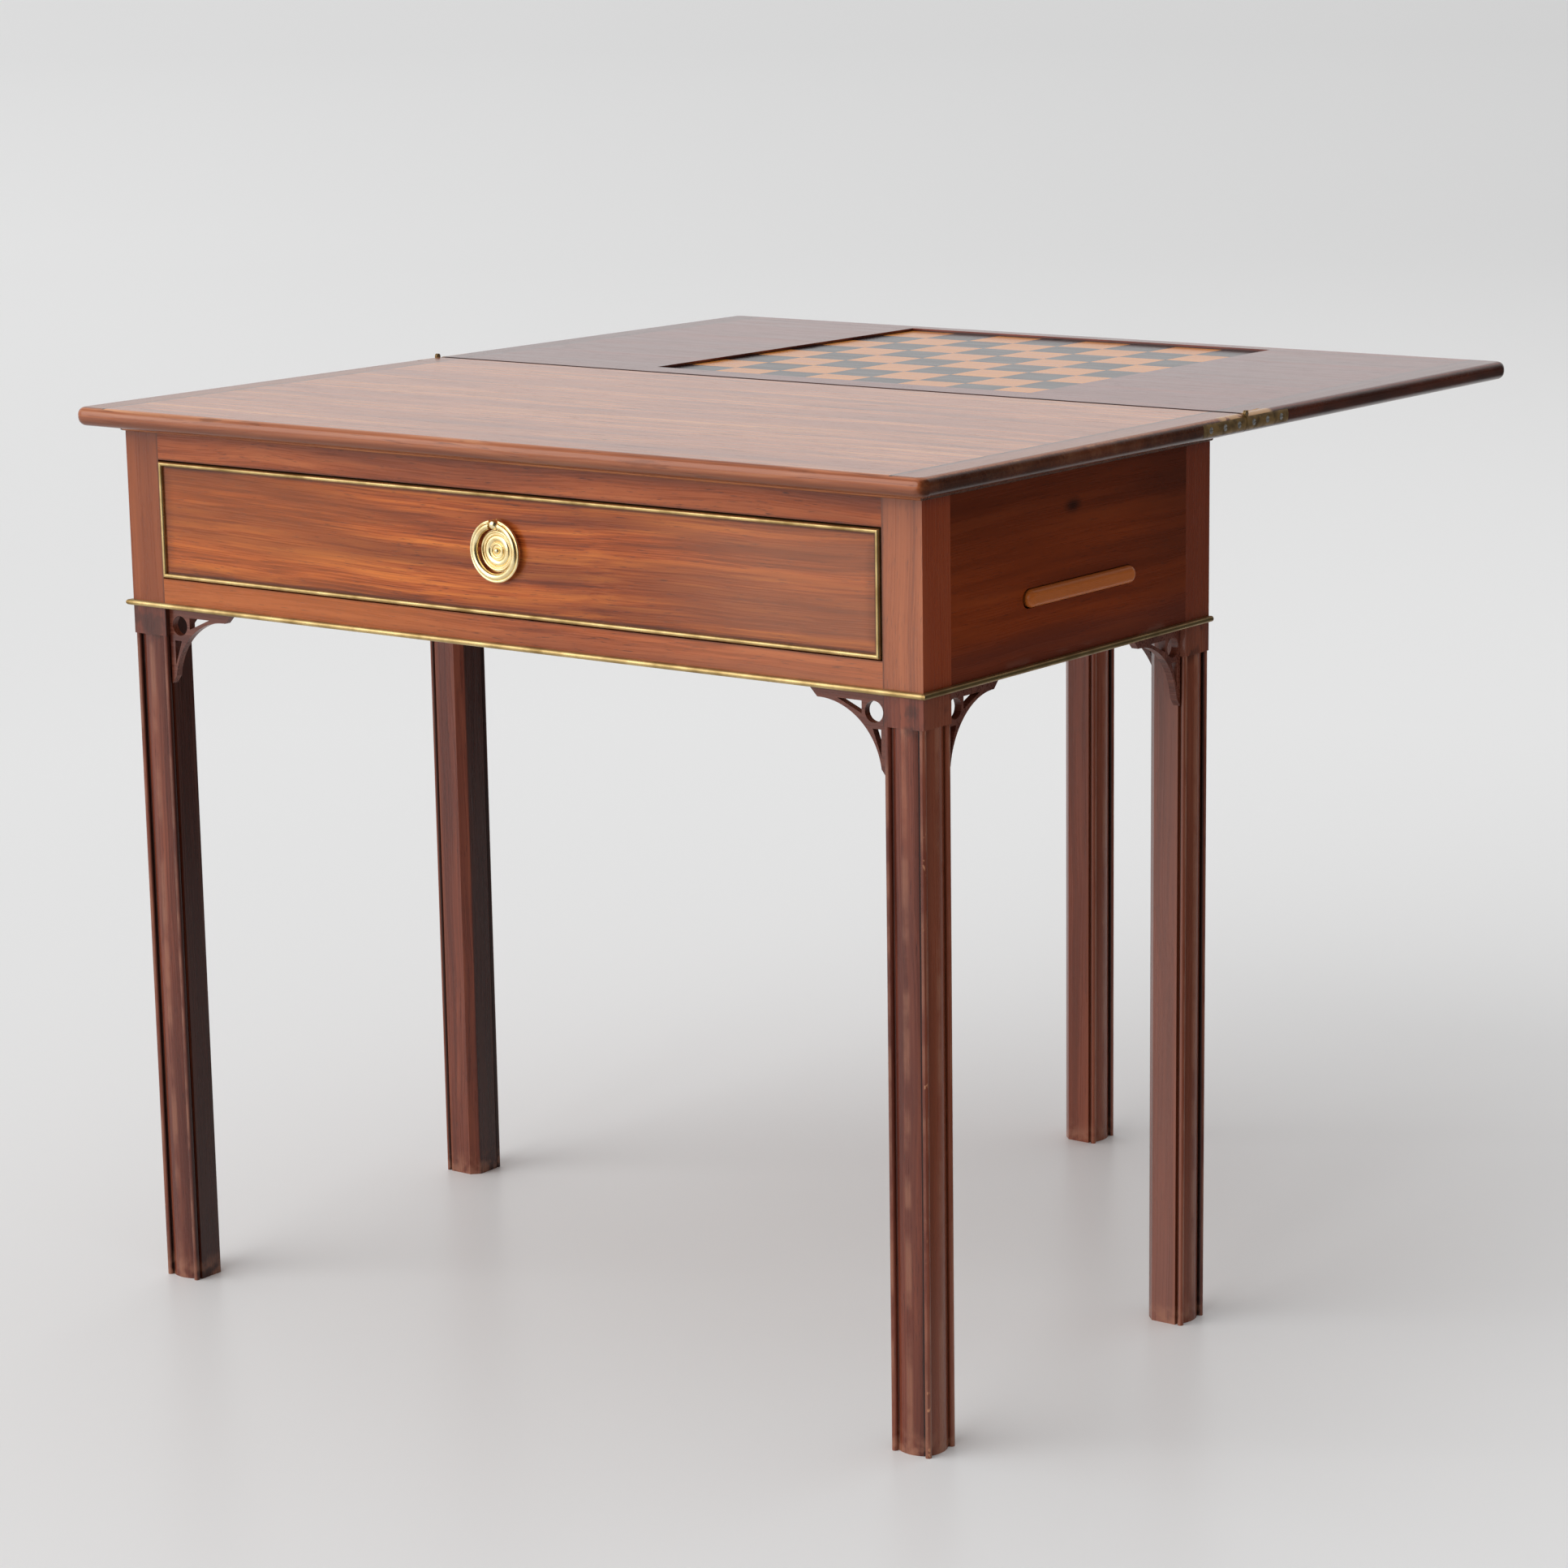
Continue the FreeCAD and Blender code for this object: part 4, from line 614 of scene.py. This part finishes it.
def metalMaterial(name, spec):
    material, tree = newMaterial(name)
    place = objectPlace(tree)
    patch = addNode(tree, "ShaderNodeTexNoise", Vector=place, Scale=1000 / spec["patch"], Detail=4.0).outputs[0]
    low, high = metalSpec["tarnish"]
    tarnish = addNode(tree, "ShaderNodeMapRange", Value=patch, From_Min=low, From_Max=high)
    colour = addNode(tree, "ShaderNodeMix", {"data_type": "RGBA"}, _0=tarnish.outputs[0],
                     _6=hexToLinear(spec["clean"]), _7=hexToLinear(spec["dull"])).outputs[2]
    if "side" in spec:
        colour = stain(tree, colour, spec["side"], along=axesFrom(tree, place, folded=True)["X"])
    low, high = metalSpec["roughSpan"]
    rough = addNode(tree, "ShaderNodeMapRange", Value=patch, From_Min=low, From_Max=high,
                    To_Min=spec["gloss"][0], To_Max=spec["gloss"][1])
    grit = addNode(tree, "ShaderNodeTexNoise", Vector=place, Scale=1000 / metalSpec["grit"], Detail=2.0)
    bump = addNode(tree, "ShaderNodeBump", Strength=spec["bump"], Distance=metalSpec["relief"],
                   Height=grit.outputs[0])
    shader = addNode(tree, "ShaderNodeBsdfPrincipled", Base_Color=colour, Metallic=spec["metal"],
                     Roughness=rough.outputs[0], Normal=bump.outputs[0])
    closeMaterial(tree, shader)
    return material


paint(metalMaterial("brass_cast_polished", pullBrass), "pull_backplate", "pull_post", "pull_ring", "pull_nut")
paint(metalMaterial("brass_drawn_aged", beadBrass), "bead_front", "bead_left", "bead_right", "cockbead_top",
      "cockbead_bottom", "cockbead_left", "cockbead_right")
paint(metalMaterial("brass_sheet_tarnished", hingeBrass), "hinge_lower_left", "hinge_lower_right",
      "hinge_upper_left", "hinge_upper_right")
paint(metalMaterial("steel_filed", screwSteel), "hinge_pins", "hinge_screws_lower", "hinge_screws_upper",
      "top_screws", "fly_knuckle_pin")
print("metals done")

# chess board veneers: satinwood and ebonised pear on a dark ground, quiet figure under old polish
lightVeneer = {
    **frontWood, "dark": "#cf7c2c", "middle": "#dc8a36", "light": "#e69a48", "toneTint": "#b56a2a",
    "toneShare": 0.2, "band": (90, 12, 3.0), "streak": (60, 1.6, 4.0), "poreTint": "#8a5426", "poreShare": 0.2,
    "gloss": (0.16, 0.26), "shine": 0.5, "bump": 0.03,
}
darkVeneer = {
    **lightVeneer, "dark": "#1d1617", "middle": "#261d1e", "light": "#302526", "toneTint": "#1a1213",
    "poreTint": "#0c0807",
}
paint(plainWood("satinwood_veneer", lightVeneer), "chess_light_squares")
paint(plainWood("ebonised_veneer", darkVeneer), "chess_dark_squares")
paint(plainWood("mahogany_ground", bracketWood), "chess_ground")
print("board done")


def newPiece(name, mesh, body, material):
    build = bpy.data.meshes.new(name)
    mesh.to_mesh(build)
    mesh.free()
    build.materials.append(material)
    piece = bpy.data.objects.new(name, build)
    bpy.context.scene.collection.objects.link(piece)
    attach(piece, body)


# thin moulded fillet under the top, round the front and both ends of the frame, dark in the shade of the top
# and at the ends; profile is (out, height)
filletSpec = {
    "half": 0.389, "front": -0.405, "rear": -0.015,
    "profile": ((0.0, 0.7094), (0.0016, 0.7094), (0.0026, 0.7100), (0.0030, 0.7112), (0.0030, 0.71495),
                (0.0, 0.71495)),
    "shade": ("#220e08", 0.85), "shadeTop": (0.7112, 0.7120), "shadeEnds": (0.3895, 0.3900),
}
mesh = bmesh.new()
rings = []
for side, atFront in ((-1, False), (-1, True), (1, True), (1, False)):
    points = []
    for out, height in filletSpec["profile"]:
        y = filletSpec["front"] - out if atFront else filletSpec["rear"]
        points.append(Vector((side * (filletSpec["half"] + out), y, height)))
    rings.append(points)
verts = [mesh.verts.new(point) for point in rings[0]]
edges = [mesh.edges.new((verts[number - 1], verts[number])) for number in range(len(verts))]
for before, after in zip(rings, rings[1:]):
    made = bmesh.ops.extrude_edge_only(mesh, edges=edges)["geom"]
    edges = [item for item in made if isinstance(item, bmesh.types.BMEdge)]
    for vert in [item for item in made if isinstance(item, bmesh.types.BMVert)]:
        nearest = min(range(len(before)), key=lambda number: (vert.co - before[number]).length)
        vert.co = after[nearest]
bmesh.ops.holes_fill(mesh, edges=mesh.edges[:])
bmesh.ops.recalc_face_normals(mesh, faces=mesh.faces[:])
material, tree = newMaterial("mahogany_polished_fillet")
place = objectPlace(tree)
colour, figure, pores = woodColour(tree, filletWood, place)
axes = axesFrom(tree, place, folded=True)
shaded = addNode(tree, "ShaderNodeMath", {"operation": "MAXIMUM"},
                 _0=overlap(tree, (axes["Z"], *filletSpec["shadeTop"])),
                 _1=overlap(tree, (axes["X"], *filletSpec["shadeEnds"])))
colour = stain(tree, colour, filletSpec["shade"], shaded.outputs[0])
woodShader(tree, filletWood, colour, figure, pores)
newPiece("top_fillet", mesh, "frame", material)

# pale splinters where wood has torn over the hinges: a thin bar along y, frayed and thinner towards its ends;
# size is width, length and thickness in metres, lean in degrees
splinterSpec = {
    "torn_splinter_right": {"body": "leaf", "middle": (0.4066, 0.0235, 0.7289),
                            "size": (0.0062, 0.036, 0.0018), "lean": 14},
    "torn_splinter_left": {"body": "frame", "middle": (-0.4066, -0.030, 0.7287),
                           "size": (0.0056, 0.040, 0.0016), "lean": -14},
}
tearSpec = {"cuts": 9, "narrow": 0.30, "swell": 0.55, "swellFrom": 0.12, "swellOver": 0.8, "fray": 0.16,
            "frays": 31, "sway": 0.12, "sways": 17, "thin": 0.55}
tornWood = plainWood("mahogany_torn_fibre", tornFibre)
for name, spec in splinterSpec.items():
    mesh = bmesh.new()
    bmesh.ops.create_cube(mesh, size=1.0)
    longEdges = [edge for edge in mesh.edges if abs(edge.verts[0].co.y - edge.verts[1].co.y) > 0.5]
    bmesh.ops.subdivide_edges(mesh, edges=longEdges, cuts=tearSpec["cuts"], use_grid_fill=True)
    for vert in mesh.verts:
        along = vert.co.y + 0.5
        swell = math.sin(math.pi * (tearSpec["swellFrom"] + tearSpec["swellOver"] * along))
        fray = math.sin(tearSpec["frays"] * along + 2 * vert.co.x)
        ragged = tearSpec["narrow"] + tearSpec["swell"] * swell + tearSpec["fray"] * fray
        vert.co.x = vert.co.x * ragged + tearSpec["sway"] * math.sin(tearSpec["sways"] * along)
        vert.co.z *= tearSpec["thin"] + (1 - tearSpec["thin"]) * math.sin(math.pi * along)
    bmesh.ops.scale(mesh, vec=spec["size"], verts=mesh.verts)
    bmesh.ops.rotate(mesh, matrix=Matrix.Rotation(math.radians(spec["lean"]), 3, "Y"), verts=mesh.verts)
    bmesh.ops.translate(mesh, vec=spec["middle"], verts=mesh.verts)
    bmesh.ops.recalc_face_normals(mesh, faces=mesh.faces[:])
    newPiece(name, mesh, spec["body"], tornWood)
print("small pieces done")

bare = [name for name in nodes if not nodes[name].data.materials or nodes[name].data.materials[0] is None]
print("nodes without a finish:", bare)
